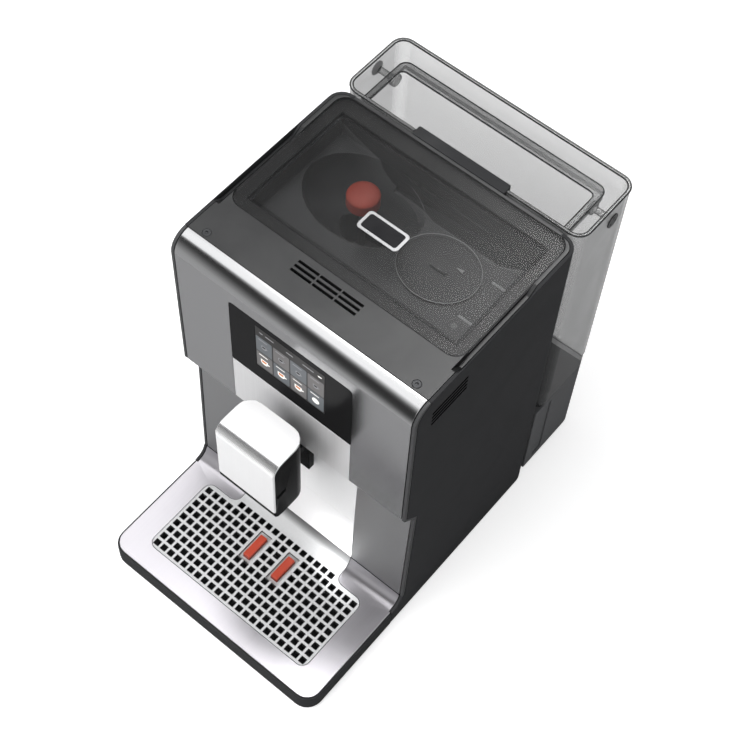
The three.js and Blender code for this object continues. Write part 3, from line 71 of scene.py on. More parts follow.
def place(x, y, z):
    return Vector((x * mm, y * mm - rearShift, z * mm))


def settle(piece):
    activate(piece)
    bpy.ops.object.transform_apply(location=True, rotation=True, scale=True)


def squeeze(piece, middle, x, y):
    activate(piece)
    bpy.ops.object.mode_set(mode="EDIT")
    bpy.ops.mesh.select_all(action="SELECT")
    bpy.ops.transform.resize(value=(x, y, 1), center_override=place(*middle))
    bpy.ops.object.mode_set(mode="OBJECT")


def selectParts(piece, kind, test):
    activate(piece)
    bpy.ops.object.mode_set(mode="EDIT")
    bpy.ops.mesh.select_mode(type=kind)
    bpy.ops.mesh.select_all(action="DESELECT")
    bpy.ops.object.mode_set(mode="OBJECT")
    mesh = piece.data
    parts = {"EDGE": mesh.edges, "FACE": mesh.polygons, "VERT": mesh.vertices}[kind]
    for part in parts:
        part.select = test(part)
    bpy.ops.object.mode_set(mode="EDIT")


def alongAxis(piece, axis):
    corners = piece.data.vertices

    def test(edge):
        step = corners[edge.vertices[0]].co - corners[edge.vertices[1]].co
        return abs(step[axis]) > 0.98 * step.length

    return test


def smooth(piece, angle=35):
    activate(piece)
    bpy.ops.object.shade_smooth_by_angle(angle=math.radians(angle))


def applyModifier(piece, kind, **values):
    activate(piece)
    modifier = piece.modifiers.new(kind.title(), kind)
    for key, value in values.items():
        setattr(modifier, key, value)
    bpy.ops.object.modifier_apply(modifier=modifier.name)


def refillFace(piece, axis, level):
    flat, near = 0.999, 0.000005

    def onLevel(face):
        return abs(face.normal[axis]) > flat and abs(face.center[axis] - level) < near

    selectParts(piece, "FACE", onLevel)
    bpy.ops.mesh.delete(type="FACE")
    bpy.ops.mesh.select_mode(type="EDGE")
    bpy.ops.mesh.select_all(action="DESELECT")
    bpy.ops.mesh.select_non_manifold(
        extend=False, use_wire=False, use_boundary=True, use_multi_face=False, use_non_contiguous=False,
        use_verts=False,
    )
    bpy.ops.mesh.fill(use_beauty=True)
    bpy.ops.mesh.select_all(action="SELECT")
    bpy.ops.mesh.normals_make_consistent(inside=False)
    bpy.ops.object.mode_set(mode="OBJECT")


def softenEdges(piece, width, segments=2, angle=32, level=None):
    applyModifier(
        piece, "BEVEL", width=width, segments=segments, limit_method="ANGLE",
        angle_limit=math.radians(angle), use_clamp_overlap=False, miter_outer="MITER_ARC",
        face_strength_mode="FSTR_AFFECTED",
    )
    if level:
        refillFace(piece, *level)
    smooth(piece)
    applyModifier(piece, "WEIGHTED_NORMAL", keep_sharp=True, weight=100, use_face_influence=True)


def addPlate(name, low, high, thin, corner, segments=4, edge=None):
    deselectAll()
    low, high = place(*low), place(*high)
    bpy.ops.mesh.primitive_cube_add(size=1, location=(low + high) / 2)
    plate = bpy.context.object
    plate.name = name
    plate.scale = high - low
    settle(plate)
    if corner:
        along = alongAxis(plate, thin)
        corners = plate.data.vertices

        def test(part):
            middle = (corners[part.vertices[0]].co + corners[part.vertices[1]].co) / 2
            return along(part) and (edge is None or edge(middle))

        selectParts(plate, "EDGE", test)
        bpy.ops.mesh.bevel(offset=corner * mm, segments=segments, affect="EDGES", clamp_overlap=True)
        bpy.ops.object.mode_set(mode="OBJECT")
    return plate


def addDisc(name, middle, radius, depth, turn=(0, 0, 0), sides=32):
    deselectAll()
    bpy.ops.mesh.primitive_cylinder_add(
        vertices=sides, radius=radius * mm, depth=depth * mm, location=place(*middle), rotation=turn,
    )
    disc = bpy.context.object
    disc.name = name
    settle(disc)
    return disc


def addRing(name, middle, radius, wall, turn=(0, 0, 0), shape=(1, 1, 1)):
    deselectAll()
    bpy.ops.mesh.primitive_torus_add(
        major_radius=radius * mm, minor_radius=wall * mm, major_segments=48, minor_segments=8,
        location=place(*middle), rotation=turn,
    )
    ring = bpy.context.object
    ring.name = name
    ring.scale = shape
    settle(ring)
    return ring


def finishPiece(piece, body, material):
    piece.data.materials.clear()
    piece.data.materials.append(material)
    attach(piece, body)
    return piece


# Shader steps, for groups and materials alike

def addMath(tree, operation, *parts):
    step = tree.nodes.new("ShaderNodeMath")
    step.operation = operation
    for socket, part in zip(step.inputs, parts):
        if isinstance(part, (int, float)):
            socket.default_value = part
        else:
            tree.links.new(part, socket)
    return step.outputs[0]


def axesOf(tree, kind="ShaderNodeTexCoord", output="Object"):
    source = tree.nodes.new(kind)
    split = tree.nodes.new("ShaderNodeSeparateXYZ")
    tree.links.new(source.outputs[output], split.inputs["Vector"])
    return split.outputs


def spreadValue(tree, value, low, high, start=0.0, end=1.0):
    spread = tree.nodes.new("ShaderNodeMapRange")
    for label, setting in (("From Min", start), ("From Max", end), ("To Min", low), ("To Max", high)):
        spread.inputs[label].default_value = setting
    tree.links.new(value, spread.inputs["Value"])
    return spread.outputs["Result"]


def facingUp(tree, low, high):
    return spreadValue(tree, axesOf(tree, "ShaderNodeNewGeometry", "Normal")["Z"], 0.0, 1.0, low, high)


def mixTones(tree, factor, dark, light):
    mix = tree.nodes.new("ShaderNodeMix")
    mix.data_type = "RGBA"
    for label, part in (("A", dark), ("B", light)):
        if isinstance(part, tuple):
            mix.inputs[label].default_value = (*part, 1)
        else:
            tree.links.new(part, mix.inputs[label])
    tree.links.new(factor, mix.inputs["Factor"])
    return mix.outputs["Result"]


def addNoise(tree, vector, **settings):
    noise = tree.nodes.new("ShaderNodeTexNoise")
    tree.links.new(vector, noise.inputs["Vector"])
    for label, setting in settings.items():
        noise.inputs[label].default_value = setting
    return noise


def addRamp(tree, value, ends, between):
    ramp = tree.nodes.new("ShaderNodeValToRGB")
    stops = ramp.color_ramp.elements
    for index, (share, tone) in enumerate(ends):
        stops[index].position = share
        stops[index].color = (tone, tone, tone, 1)
    for share, tone in between:
        stop = stops.new(share)
        stop.color = (tone, tone, tone, 1)
    tree.links.new(value, ramp.inputs["Fac"])
    return ramp.outputs["Color"]


# Shader groups shared by the finishes

def startGroup(name, inputs, outputs):
    group = bpy.data.node_groups.new(name, "ShaderNodeTree")
    for label, kind, value in inputs:
        socket = group.interface.new_socket(name=label, in_out="INPUT", socket_type=kind)
        socket.default_value = value
    for label in outputs:
        group.interface.new_socket(name=label, in_out="OUTPUT", socket_type="NodeSocketFloat")
    start = group.nodes.new("NodeGroupInput")
    end = group.nodes.new("NodeGroupOutput")
    return group, start, end


def makeGrainGroup():
    group, start, end = startGroup(
        "fineGrain", [("Scale", "NodeSocketFloat", 900.0)], ["Tone", "Height"],
    )
    links = group.links
    where = group.nodes.new("ShaderNodeTexCoord").outputs["Object"]
    grain = addNoise(group, where, Detail=3, Roughness=0.6)
    pits = group.nodes.new("ShaderNodeTexVoronoi")
    links.new(where, pits.inputs["Vector"])
    for pattern in (grain, pits):
        links.new(start.outputs["Scale"], pattern.inputs["Scale"])
    height = addMath(group, "MULTIPLY_ADD", pits.outputs["Distance"], 0.5, grain.outputs["Fac"])
    links.new(grain.outputs["Fac"], end.inputs["Tone"])
    links.new(height, end.inputs["Height"])
    return group


def makeBrushGroup():
    group, start, end = startGroup(
        "brushedLines", [("Stretch", "NodeSocketVector", (12, 900, 900))], ["Tone", "Height"],
    )
    links = group.links
    where = group.nodes.new("ShaderNodeTexCoord").outputs["Object"]
    stretch = group.nodes.new("ShaderNodeMapping")
    links.new(where, stretch.inputs["Vector"])
    links.new(start.outputs["Stretch"], stretch.inputs["Scale"])
    lines = addNoise(group, stretch.outputs["Vector"], Scale=1.0, Detail=4, Roughness=0.65)
    links.new(spreadValue(group, lines.outputs["Fac"], 0.0, 1.0, 0.3, 0.7), end.inputs["Tone"])
    links.new(lines.outputs["Fac"], end.inputs["Height"])
    return group


def makeHandlingGroup():
    group, start, end = startGroup(
        "handling", [("Scale", "NodeSocketFloat", 22.0), ("Dust", "NodeSocketFloat", 0.5)], ["Smear", "Dust"],
    )
    links = group.links
    where = group.nodes.new("ShaderNodeTexCoord").outputs["Object"]
    cloud = addNoise(group, where, Detail=5, Distortion=0.6)
    links.new(start.outputs["Scale"], cloud.inputs["Scale"])
    smear = spreadValue(group, cloud.outputs["Fac"], 0.0, 1.0, 0.42, 0.72)
    links.new(smear, end.inputs["Smear"])
    dust = addMath(group, "MULTIPLY", facingUp(group, 0.6, 1.0), smear)
    links.new(addMath(group, "MULTIPLY", dust, start.outputs["Dust"]), end.inputs["Dust"])
    return group


# Painted shadow on the slope at the back of the bean basin, with a painted highlight band just before its
# line: the line as shares of width and depth, the tones along it
beanSlope = {
    "drop": 0.0247, "left": -0.12, "right": 0.1, "front": 0.14, "rear": 0.2, "wallShare": 0.6, "floor": 0.35,
    "line": (
        (0.03, 0.88), (0.2, 0.7), (0.355, 0.61), (0.5, 0.545), (0.605, 0.42), (0.69, 0.368), (0.75, 0.335),
        (0.836, 0.34), (0.91, 0.41), (0.96, 0.49),
    ),
    "spread": 0.25, "ends": ((0.25, 0.42), (1.0, 0.14)), "between": ((0.48, 0.8), (0.505, 0.06), (0.7, 0.06)),
}


def makeSlopeGroup():
    group, _, end = startGroup("slopeShade", [], ["Shade"])
    b = beanSlope
    axes = axesOf(group)
    line = group.nodes.new("ShaderNodeFloatCurve")
    curve = line.mapping.curves[0]
    curve.points[0].location = b["line"][0]
    curve.points[1].location = b["line"][-1]
    for share in b["line"][1:-1]:
        curve.points.new(*share)
    line.mapping.update()
    group.links.new(spreadValue(group, axes["X"], 0.0, 1.0, b["left"], b["right"]), line.inputs["Value"])
    above = addMath(group, "MAXIMUM", axes["Z"], b["floor"])
    raised = addMath(group, "MULTIPLY_ADD", above, b["wallShare"], -b["floor"] * b["wallShare"])
    back = addMath(group, "ADD", axes["Y"], raised)
    depth = spreadValue(group, back, 0.0, 1.0, b["front"] - rearShift, b["rear"] - rearShift)
    behind = addMath(group, "SUBTRACT", depth, line.outputs["Value"])
    shaded = spreadValue(group, behind, 0.0, 1.0, -b["spread"], b["spread"])
    # The ramp paints a lighter highlight band just before the line and dark shade behind it
    group.links.new(addRamp(group, shaded, b["ends"], b["between"]), end.inputs["Shade"])
    return group


grainGroup = makeGrainGroup()
slopeGroup = makeSlopeGroup()
brushGroup = makeBrushGroup()
handlingGroup = makeHandlingGroup()
print("shader groups built")


# Finishes

def startFinish(name, roughness, metallic=0.0, specular=0.5, coat=0.0, coatRoughness=0.1):
    material = bpy.data.materials.new(name)
    material.use_nodes = True
    tree = material.node_tree
    shader = tree.nodes["Principled BSDF"]
    shader.inputs["Metallic"].default_value = metallic
    shader.inputs["Roughness"].default_value = roughness
    shader.inputs["Specular IOR Level"].default_value = specular
    shader.inputs["Coat Weight"].default_value = coat
    shader.inputs["Coat Roughness"].default_value = coatRoughness
    return material, tree, shader


def addGroup(tree, group, **values):
    node = tree.nodes.new("ShaderNodeGroup")
    node.node_tree = group
    for label, value in values.items():
        node.inputs[label].default_value = value
    return node


def addBump(tree, shader, height, strength):
    bump = tree.nodes.new("ShaderNodeBump")
    bump.inputs["Strength"].default_value = strength
    bump.inputs["Distance"].default_value = bumpDepth
    tree.links.new(height, bump.inputs["Height"])
    tree.links.new(bump.outputs["Normal"], shader.inputs["Normal"])


def shade(colour, factor):
    return tuple(min(1.0, part * factor) for part in colour)


def openFinish(material):
    tree = material.node_tree
    shader = tree.nodes["Principled BSDF"]
    return tree, shader, shader.inputs["Base Color"].links[0].from_socket


def brushedFinish(
    name, colour, roughness, stretch=(12, 900, 900), contrast=0.06, strength=0.05, metallic=1.0, spread=0.18,
    specular=0.5,
):
    material, tree, shader = startFinish(name, roughness, metallic, specular)
    lines = addGroup(tree, brushGroup, Stretch=stretch)
    marks = addGroup(tree, handlingGroup, Scale=16.0, Dust=0.2)
    tone = mixTones(tree, lines.outputs["Tone"], shade(colour, 1 - contrast), shade(colour, 1 + contrast))
    tree.links.new(tone, shader.inputs["Base Color"])
    smeared = addMath(tree, "MULTIPLY_ADD", marks.outputs["Smear"], 0.35, lines.outputs["Tone"])
    gloss = spreadValue(tree, smeared, roughness * (1 - spread), roughness * (1 + spread))
    tree.links.new(gloss, shader.inputs["Roughness"])
    addBump(tree, shader, lines.outputs["Height"], strength)
    return material


def spoutFinish(name, colour, roughness):
    material = brushedFinish(
        name, colour, roughness, stretch=upright, contrast=0.01, strength=0.004, spread=0.05,
    )
    tree, shader, _ = openFinish(material)
    matTop = spreadValue(tree, facingUp(tree, 0.93, 0.985), 1.0, 0.05)
    matFront = spreadValue(tree, facingUp(tree, 0.25, 0.6), 0.15, 0.9)
    tree.links.new(addMath(tree, "MULTIPLY", matTop, matFront), shader.inputs["Metallic"])
    return material


def mouldedFinish(name, colour, roughness, grain=900.0, strength=0.12, dust=0.3, **gloss):
    material, tree, shader = startFinish(name, roughness, **gloss)
    grained = addGroup(tree, grainGroup, Scale=grain)
    marks = addGroup(tree, handlingGroup, Scale=20.0, Dust=dust)
    tone = mixTones(tree, grained.outputs["Tone"], shade(colour, 0.88), shade(colour, 1.12))
    dusty = mixTones(tree, marks.outputs["Dust"], tone, tuple(0.75 * part + 0.05 for part in colour))
    tree.links.new(dusty, shader.inputs["Base Color"])
    spread = spreadValue(tree, marks.outputs["Smear"], roughness, min(1.0, roughness * 1.08))
    tree.links.new(spread, shader.inputs["Roughness"])
    addBump(tree, shader, grained.outputs["Height"], strength)
    return material


# The height in which the side panels have their slots, whose ledges are painted near black as shade in the
# slots
ventBand = {"middle": 0.3445, "reach": 0.0115, "wall": (0.002, 0.002, 0.002)}


def ventedShadeFinish(name, colour, roughness, **values):
    material = mouldedFinish(name, colour, roughness, **values)
    tree, shader, plain = openFinish(material)
    # Upward ledges inside the slot band get painted shade, near black
    band = addMath(tree, "COMPARE", axesOf(tree)["Z"], ventBand["middle"], ventBand["reach"])
    shadedLedge = addMath(tree, "MULTIPLY", band, facingUp(tree, 0.35, 0.8))
    tree.links.new(mixTones(tree, shadedLedge, plain, ventBand["wall"]), shader.inputs["Base Color"])
    return material


def grilleShadeFinish(name, colour, roughness, wall):
    material = mouldedFinish(name, colour, roughness, strength=0.01, dust=0.1)
    tree, shader, plain = openFinish(material)
    # Faces that do not face up, the hole walls among them, get the dark wall tone as painted shade
    tree.links.new(mixTones(tree, facingUp(tree, 0.35, 0.8), wall, plain), shader.inputs["Base Color"])
    return material


def clearFinish(name, colour, roughness, faceAlpha, edgeAlpha, blend=0.35, **gloss):
    material, tree, shader = startFinish(name, roughness, **gloss)
    marks = addGroup(tree, handlingGroup, Scale=14.0, Dust=0.25)
    tone = mixTones(tree, marks.outputs["Smear"], shade(colour, 0.94), shade(colour, 1.06))
    tree.links.new(tone, shader.inputs["Base Color"])
    spread = spreadValue(tree, marks.outputs["Smear"], roughness, roughness * 1.5)
    tree.links.new(spread, shader.inputs["Roughness"])
    facing = tree.nodes.new("ShaderNodeLayerWeight")
    facing.inputs["Blend"].default_value = blend
    seen = spreadValue(tree, facing.outputs["Facing"], faceAlpha, edgeAlpha)
    tree.links.new(seen, shader.inputs["Alpha"])
    return material


# Smoked basin plastic, its colour multiplied by the painted shadow and painted highlight band of the slope
# group
def hopperPaintedShadeFinish(name, colour, roughness):
    material = mouldedFinish(name, colour, roughness, strength=0.0)
    tree, shader, plain = openFinish(material)
    slope = addGroup(tree, slopeGroup)
    shaded = tree.nodes.new("ShaderNodeMix")
    shaded.data_type = "RGBA"
    shaded.blend_type = "MULTIPLY"
    shaded.inputs["Factor"].default_value = 1.0
    tree.links.new(plain, shaded.inputs["A"])
    tree.links.new(spreadValue(tree, slope.outputs["Shade"], 0.1, 2.2), shaded.inputs["B"])
    tree.links.new(shaded.outputs["Result"], shader.inputs["Base Color"])
    return material


# The inside of the tank below a sloping level, painted dark and opaque as shade, with its tones as shares of
# the band
tankShade = {
    "level": 0.22, "front": 0.208, "slope": 1.65, "band": 0.008, "dark": (0.035, 0.036, 0.037),
    "ends": ((0.0, 0.0), (0.66, 1.0)), "between": ((0.08, 0.9), (0.14, 0.9), (0.2, 0.4), (0.58, 0.4)),
}


def tankPaintedShadeFinish(name, colour, roughness, faceAlpha, edgeAlpha, blend):
    material = clearFinish(name, colour, roughness, faceAlpha, edgeAlpha, blend)
    tree, shader, _ = openFinish(material)
    t = tankShade
    axes = axesOf(tree)
    height = addMath(tree, "MULTIPLY_ADD", axes["Y"], t["slope"], axes["Z"])
    edge = t["level"] + t["slope"] * (t["front"] - rearShift)
    depth = spreadValue(tree, height, 0.0, 1.0, edge + t["band"], edge - t["band"])
    # The ramp paints a thin dark line at the level, a lighter band below it, then the full painted shade
    shaded = addRamp(tree, depth, t["ends"], t["between"])
    for socket, full in (("Base Color", t["dark"]), ("Alpha", (1.0, 1.0, 1.0))):
        plain = shader.inputs[socket].links[0].from_socket
        tree.links.new(mixTones(tree, shaded, plain, full), shader.inputs[socket])
    return material


def litFinish(name, colour, glow):
    material, tree, shader = startFinish(name, 0.3, specular=0.1)
    marks = addGroup(tree, grainGroup, Scale=1400.0)
    tone = mixTones(tree, marks.outputs["Tone"], shade(colour, 0.92), shade(colour, 1.08))
    tree.links.new(tone, shader.inputs["Base Color"])
    tree.links.new(tone, shader.inputs["Emission Color"])
    shader.inputs["Emission Strength"].default_value = glow
    return material


# Directions in which the brushed lines run, and what several finishes share
upright = (900, 900, 10)
even = (500, 500, 500)
charcoal = {"colour": (0.041, 0.0415, 0.0435), "roughness": 0.5}
shellGrain = {"grain": 1500.0, "strength": 0.05}

finish = {
    "brushed_metal": brushedFinish(
        "brushedFront", (0.48, 0.482, 0.488), 0.17, contrast=0.012, strength=0.004, spread=0.04,
    ),
    "column_metal": brushedFinish(
        "brushedColumn", (0.45, 0.452, 0.458), 0.5, contrast=0.015, strength=0.006, spread=0.04,
    ),
    "tray_metal": brushedFinish(
        "brushedTray", (0.55, 0.535, 0.565), 0.3, stretch=(900, 14, 900), contrast=0.02, strength=0.02,
        spread=0.08,
    ),
    "plate": brushedFinish(
        "platePolish", (0.9, 0.9, 0.905), 0.3, stretch=upright, contrast=0.03, strength=0.0, metallic=0.45,
        spread=0.06,
    ),
    "splash": brushedFinish(
        "brushedSplash", (0.95, 0.95, 0.955), 0.6, stretch=upright, contrast=0.01, strength=0.0,
        metallic=0.0, spread=0.05, specular=0.0,
    ),
    "spout_skin": spoutFinish("spoutSkin", (0.93, 0.93, 0.935), 0.2),
    "trim_grey": mouldedFinish("trimPaint", (0.06, 0.061, 0.063), 0.4, strength=0.03, specular=0.15),
    "dark_shell": mouldedFinish("charcoalShell", **charcoal, **shellGrain, specular=0.02),
    # side panels: painted shade on the slot ledges
    "vented_shell": ventedShadeFinish("ventedShell", **charcoal, **shellGrain, specular=0.02),
    "top_shell": mouldedFinish("topShell", (0.0175, 0.018, 0.0188), 0.3, **shellGrain, specular=0.4),
    "black_plastic": mouldedFinish("blackPlastic", (0.012, 0.012, 0.013), 0.35, strength=0.04, specular=0.25),
    "spout_black": mouldedFinish("spoutBlack", (0.005, 0.005, 0.0052), 0.25, strength=0.0, specular=0.015),
    "black_glass": mouldedFinish("panelGlass", (0.0125, 0.0125, 0.013), 0.2, strength=0.01, specular=0.025),
    "badge_metal": brushedFinish("badgeMetal", (0.32, 0.32, 0.325), 0.3, stretch=even, contrast=0.02),
    "screw_metal": brushedFinish("screwMetal", (0.05, 0.051, 0.053), 0.42, stretch=even),
    "screen": litFinish("screenGround", (0.03, 0.029, 0.029), 0.25),
    "smoked": clearFinish("smokedLid", (0.012, 0.012, 0.0125), 0.2, 0.26, 0.8, specular=0.4),
    "chute_smoke": mouldedFinish("chuteLid", (0.035, 0.036, 0.038), 0.3, strength=0.0),
    # basin: painted shadow and painted highlight band on its rear slope
    "hopper_smoke": hopperPaintedShadeFinish("hopperSmoke", (0.075, 0.077, 0.08), 0.4),
    # the last colour is painted shade for the grille's hole walls
    "light_plastic": grilleShadeFinish("silverPlastic", (0.56, 0.565, 0.57), 0.3, (0.05, 0.05, 0.052)),
    "skirt_plastic": mouldedFinish("skirtPlastic", (0.03, 0.0305, 0.032), 0.45, strength=0.04, specular=0.04),
    "base_shell": mouldedFinish(
        "baseShell", (0.13, 0.132, 0.136), 0.5, grain=1500.0, strength=0.04, specular=0.02,
    ),
    "cap_smoke": clearFinish("smokedCap", (0.03, 0.031, 0.032), 0.15, 0.75, 1.0, blend=0.35),
    "float_red": mouldedFinish("floatRed", (0.46, 0.045, 0.015), 0.38, strength=0.03),
    "knob_red": mouldedFinish("knobRed", (0.85, 0.12, 0.07), 0.4, strength=0.03),
    # tank: painted shade inside it below a sloping level
    "clear_smoke": tankPaintedShadeFinish("clearTank", (0.55, 0.555, 0.555), 0.07, 0.16, 0.9, blend=0.3),
    "handle_smoke": clearFinish("smokedHandle", (0.07, 0.072, 0.074), 0.12, 0.26, 0.95, blend=0.35),
    # rim lines: painted dark edges of the clear plastic
    "rim_smoke": clearFinish("rimPaintedDarkEdge", (0.022, 0.023, 0.024), 0.2, 0.9, 1.0, specular=0.2),
    "rubber": mouldedFinish("footRubber", (0.02, 0.02, 0.02), 0.8, grain=700.0, strength=0.2),
    "inner_plastic": mouldedFinish("innerPlastic", (0.2, 0.2, 0.21), 0.5),
    "cast_metal": brushedFinish("castMetal", (0.45, 0.455, 0.46), 0.4, stretch=even),
    "board": mouldedFinish("circuitBoard", (0.03, 0.12, 0.05), 0.45, grain=500.0),
    "copper": brushedFinish("copperTube", (0.62, 0.28, 0.15), 0.3, stretch=(300, 300, 300)),
    "silicone": mouldedFinish("siliconeHose", (0.55, 0.57, 0.55), 0.5, strength=0.04),
    "badge_field": mouldedFinish("badgeField", (0.02, 0.02, 0.022), 0.35, strength=0.03, specular=0.03),
    "icon_white": litFinish("iconWhite", (0.8, 0.79, 0.76), 0.35),
    "icon_coffee": litFinish("iconCoffee", (0.55, 0.2, 0.07), 0.3),
    "icon_dim": litFinish("iconDim", (0.28, 0.28, 0.29), 0.2),
    "tile_light": litFinish("tileLight", (0.14, 0.135, 0.135), 0.2),
    "tile_cool": litFinish("tileCool", (0.12, 0.13, 0.14), 0.2),
    "mark_grey": mouldedFinish("markGreyAndHighlight", (0.42, 0.43, 0.43), 0.4, strength=0.02),
    "mark_dim": mouldedFinish("markDimAndHighlight", (0.2, 0.205, 0.205), 0.4, strength=0.02),
}
print("finishes built:", len(finish))


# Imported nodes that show, each with its finish and the width in metres of its rounded edges

fineNodes = {
    "front_panel": ("brushed_metal", 0.0004), "right_column": ("column_metal", 0.0004),
    "left_column": ("column_metal", 0.0004), "front_frame": ("black_plastic", 0.0003),
    "spout_plate": ("plate", 0.0003), "backsplash": ("splash", 0.0003),
    "right_side_trim": ("trim_grey", 0.0003), "left_side_trim": ("trim_grey", 0.0003),
    "right_side_panel": ("vented_shell", 0.0005), "left_side_panel": ("vented_shell", 0.0005),
    "rear_panel": ("dark_shell", 0.0005), "top_cover": ("top_shell", 0.0004),
    "display_panel": ("black_glass", 0.0003), "display_screen": ("screen", 0.0002),
    "hopper_lid": ("smoked", 0.0005), "chute_lid": ("chute_smoke", 0.0005),
    "bean_hopper": ("hopper_smoke", 0.0004), "lid_badge": ("badge_metal", 0.0003),
    "grinder_knob": ("knob_red", 0.0008), "spout_shell": ("spout_skin", 0.0004),
    "spout_core": ("spout_black", 0.0005), "spout_carriage": ("spout_black", 0.0005),
    "tray_base": ("skirt_plastic", 0.0005), "tray_cover": ("tray_metal", 0.0004),
    "drip_grille": ("light_plastic", 0.0003), "right_float": ("float_red", 0.0005),
    "left_float": ("float_red", 0.0005), "grounds_front": ("splash", 0.0003),
    "grounds_container": ("black_plastic", 0.0005), "tank_base": ("base_shell", 0.0006),
    "water_tank": ("clear_smoke", 0.0005), "tank_handle": ("handle_smoke", 0.0005),
    "handle_grip": ("dark_shell", 0.0008), "right_pivot_cap": ("cap_smoke", 0.0004),
    "left_pivot_cap": ("cap_smoke", 0.0004), "right_cover_screw": ("screw_metal", 0.0002),
    "left_cover_screw": ("screw_metal", 0.0002),
}

# Wide faces with holes that are filled again after the edges are rounded, as axis and place
wideFaces = {
    "top_cover": (2, 0.375), "left_side_panel": (0, -0.12), "right_side_panel": (0, 0.12),
}


def copyNode(name, node):
    piece = bpy.data.objects.new(name, nodes[node].data.copy())
    bpy.context.scene.collection.objects.link(piece)
    return piece


def refine(node, key, edge):
    piece = copyNode(node + "Fine", node)
    activate(piece)
    bpy.ops.object.mode_set(mode="EDIT")
    bpy.ops.mesh.select_mode(type="VERT")
    bpy.ops.mesh.select_all(action="SELECT")
    bpy.ops.mesh.remove_doubles(threshold=mergeReach)
    bpy.ops.mesh.beautify_fill(angle_limit=math.radians(0.2))
    bpy.ops.object.mode_set(mode="OBJECT")
    softenEdges(piece, edge, level=wideFaces.get(node))
    finishPiece(piece, bodyOf[node], finish[key])
    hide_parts(node)
    return piece


fine = {node: refine(node, key, edge) for node, (key, edge) in fineNodes.items()}
for name, node in nodes.items():
    if name not in fine:
        node.data.materials.clear()
        node.data.materials.append(finish[slotOf[name]])
print("packed nodes finished:", len(fine), "refined of", len(nodes))


# Screen: plain tiles and cup symbols, in millimetres from the panel's middle and over the table

screenTiles = {
    "columns": (-26.1, -8.7, 8.7, 26.1), "rows": (296.0, 317.6), "width": 16.2, "height": 20.4,
    "corner": 1.2, "thick": 0.08, "bar": (-5.6, 3.4, 6.6, 7.5), "dialRadius": 3.6, "dialDrop": 1.4,
}
screenHeader = {
    "z": 334.5, "half": 0.55, "bars": ((-30.5, -27.0), (-24.5, -16.0), (-3.5, 3.5), (13.0, 24.0)),
    "ringX": 30.2, "ringRadius": 1.7, "ringWall": 0.4,
}
screenCup = {
    "width": 7.4, "height": 5.6, "right": 0.7, "corner": 0.72, "fillLeft": 0.72, "fillRight": 0.42,
    "fillLow": 0.4, "fillHigh": 0.9, "fillCorner": 0.3, "ear": (0.78, 0.5), "earRadius": 1.3, "earWall": 0.35,
    "shift": (0.3, 1.6), "lowRow": ("icon_white", "icon_coffee", 1.15),
    "highRow": ("icon_dim", "badge_field", 0.8),
}
facingFront = (math.radians(90), 0, 0)
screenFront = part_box("display_screen")[0].y / mm + rearShift / mm


def onScreen(name, x0, x1, z0, z1, level, corner, key, edge=None):
    thick = screenTiles["thick"]
    front = screenFront - thick * level
    plate = addPlate(name, (x0, front - thick, z0), (x1, front, z1), 1, corner, edge=edge)
    return finishPiece(plate, "housing", finish[key])


def addCup(name, x, z, key, fillKey, size):
    c = screenCup
    half = c["width"] * size / 2
    low = z - c["height"] * size / 2
    high = z + c["height"] * size / 2
    lowest = place(0, 0, low + 0.1).z
    onScreen(
        name + "Bowl", x - half, x + half * c["right"], low, high, 1, half * c["corner"], key,
        lambda at: at.z < lowest,
    )
    onScreen(
        name + "Fill", x - half * c["fillLeft"], x + half * c["fillRight"], z - c["fillLow"] * size,
        high - c["fillHigh"] * size, 2, c["fillCorner"], fillKey,
    )
    aside, up = c["ear"]
    ring = addRing(
        name + "Ear", (x + half * aside, screenFront - screenTiles["thick"] * 1.6, z + up * size),
        c["earRadius"] * size, c["earWall"] * size, facingFront, (1, 0.2, 1),
    )
    finishPiece(ring, "housing", finish[key])


def addTile(name, x, z, row, column):
    t = screenTiles
    key = "tile_cool" if (row + column) % 2 else "tile_light"
    across, up = t["width"] / 2, t["height"] / 2
    onScreen(name, x - across, x + across, z - up, z + up, 0, t["corner"], key)
    x0, x1, z0, z1 = t["bar"]
    onScreen(name + "Bar", x + x0, x + x1, z + z0, z + z1, 1, 0.3, "icon_dim" if row else "icon_white")
    if column == 3 and row == 0:
        middle = (x, screenFront - t["thick"] * 1.5, z - t["dialDrop"])
        disc = addDisc(name + "Dial", middle, t["dialRadius"], t["thick"], facingFront)
        finishPiece(disc, "housing", finish["icon_white"])
    else:
        aside, down = screenCup["shift"]
        addCup(name + "Cup", x + aside, z - down, *screenCup["highRow" if row else "lowRow"])


def makeScreen():
    for row, z in enumerate(screenTiles["rows"]):
        for column, x in enumerate(screenTiles["columns"]):
            addTile(f"screenTile{row}{column}", x, z, row, column)
    h = screenHeader
    for index, (x0, x1) in enumerate(h["bars"]):
        onScreen(f"headerBar{index}", x0, x1, h["z"] - h["half"], h["z"] + h["half"], 0, 0.4, "icon_dim")
    middle = (h["ringX"], screenFront - screenTiles["thick"], h["z"])
    ring = addRing("headerRing", middle, h["ringRadius"], h["ringWall"], facingFront, (1, 0.2, 1))
    finishPiece(ring, "housing", finish["icon_white"])


makeScreen()
print("screen made")


# Badge with a bare field

badge = {"x": -2, "y": 111, "length": 34.6, "width": 14.4, "corner": 2.2, "thick": 0.12}


def makeBadge():
    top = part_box("lid_badge")[1].z / mm
    b = badge
    across, deep = b["length"] / 2, b["width"] / 2
    low = (b["x"] - across, b["y"] - deep, top - 0.02)
    high = (b["x"] + across, b["y"] + deep, top + b["thick"])
    field = addPlate("badgeField", low, high, 2, b["corner"], 6)
    finishPiece(field, "hopper_lid_body", finish["badge_field"])


makeBadge()
print("badge made")


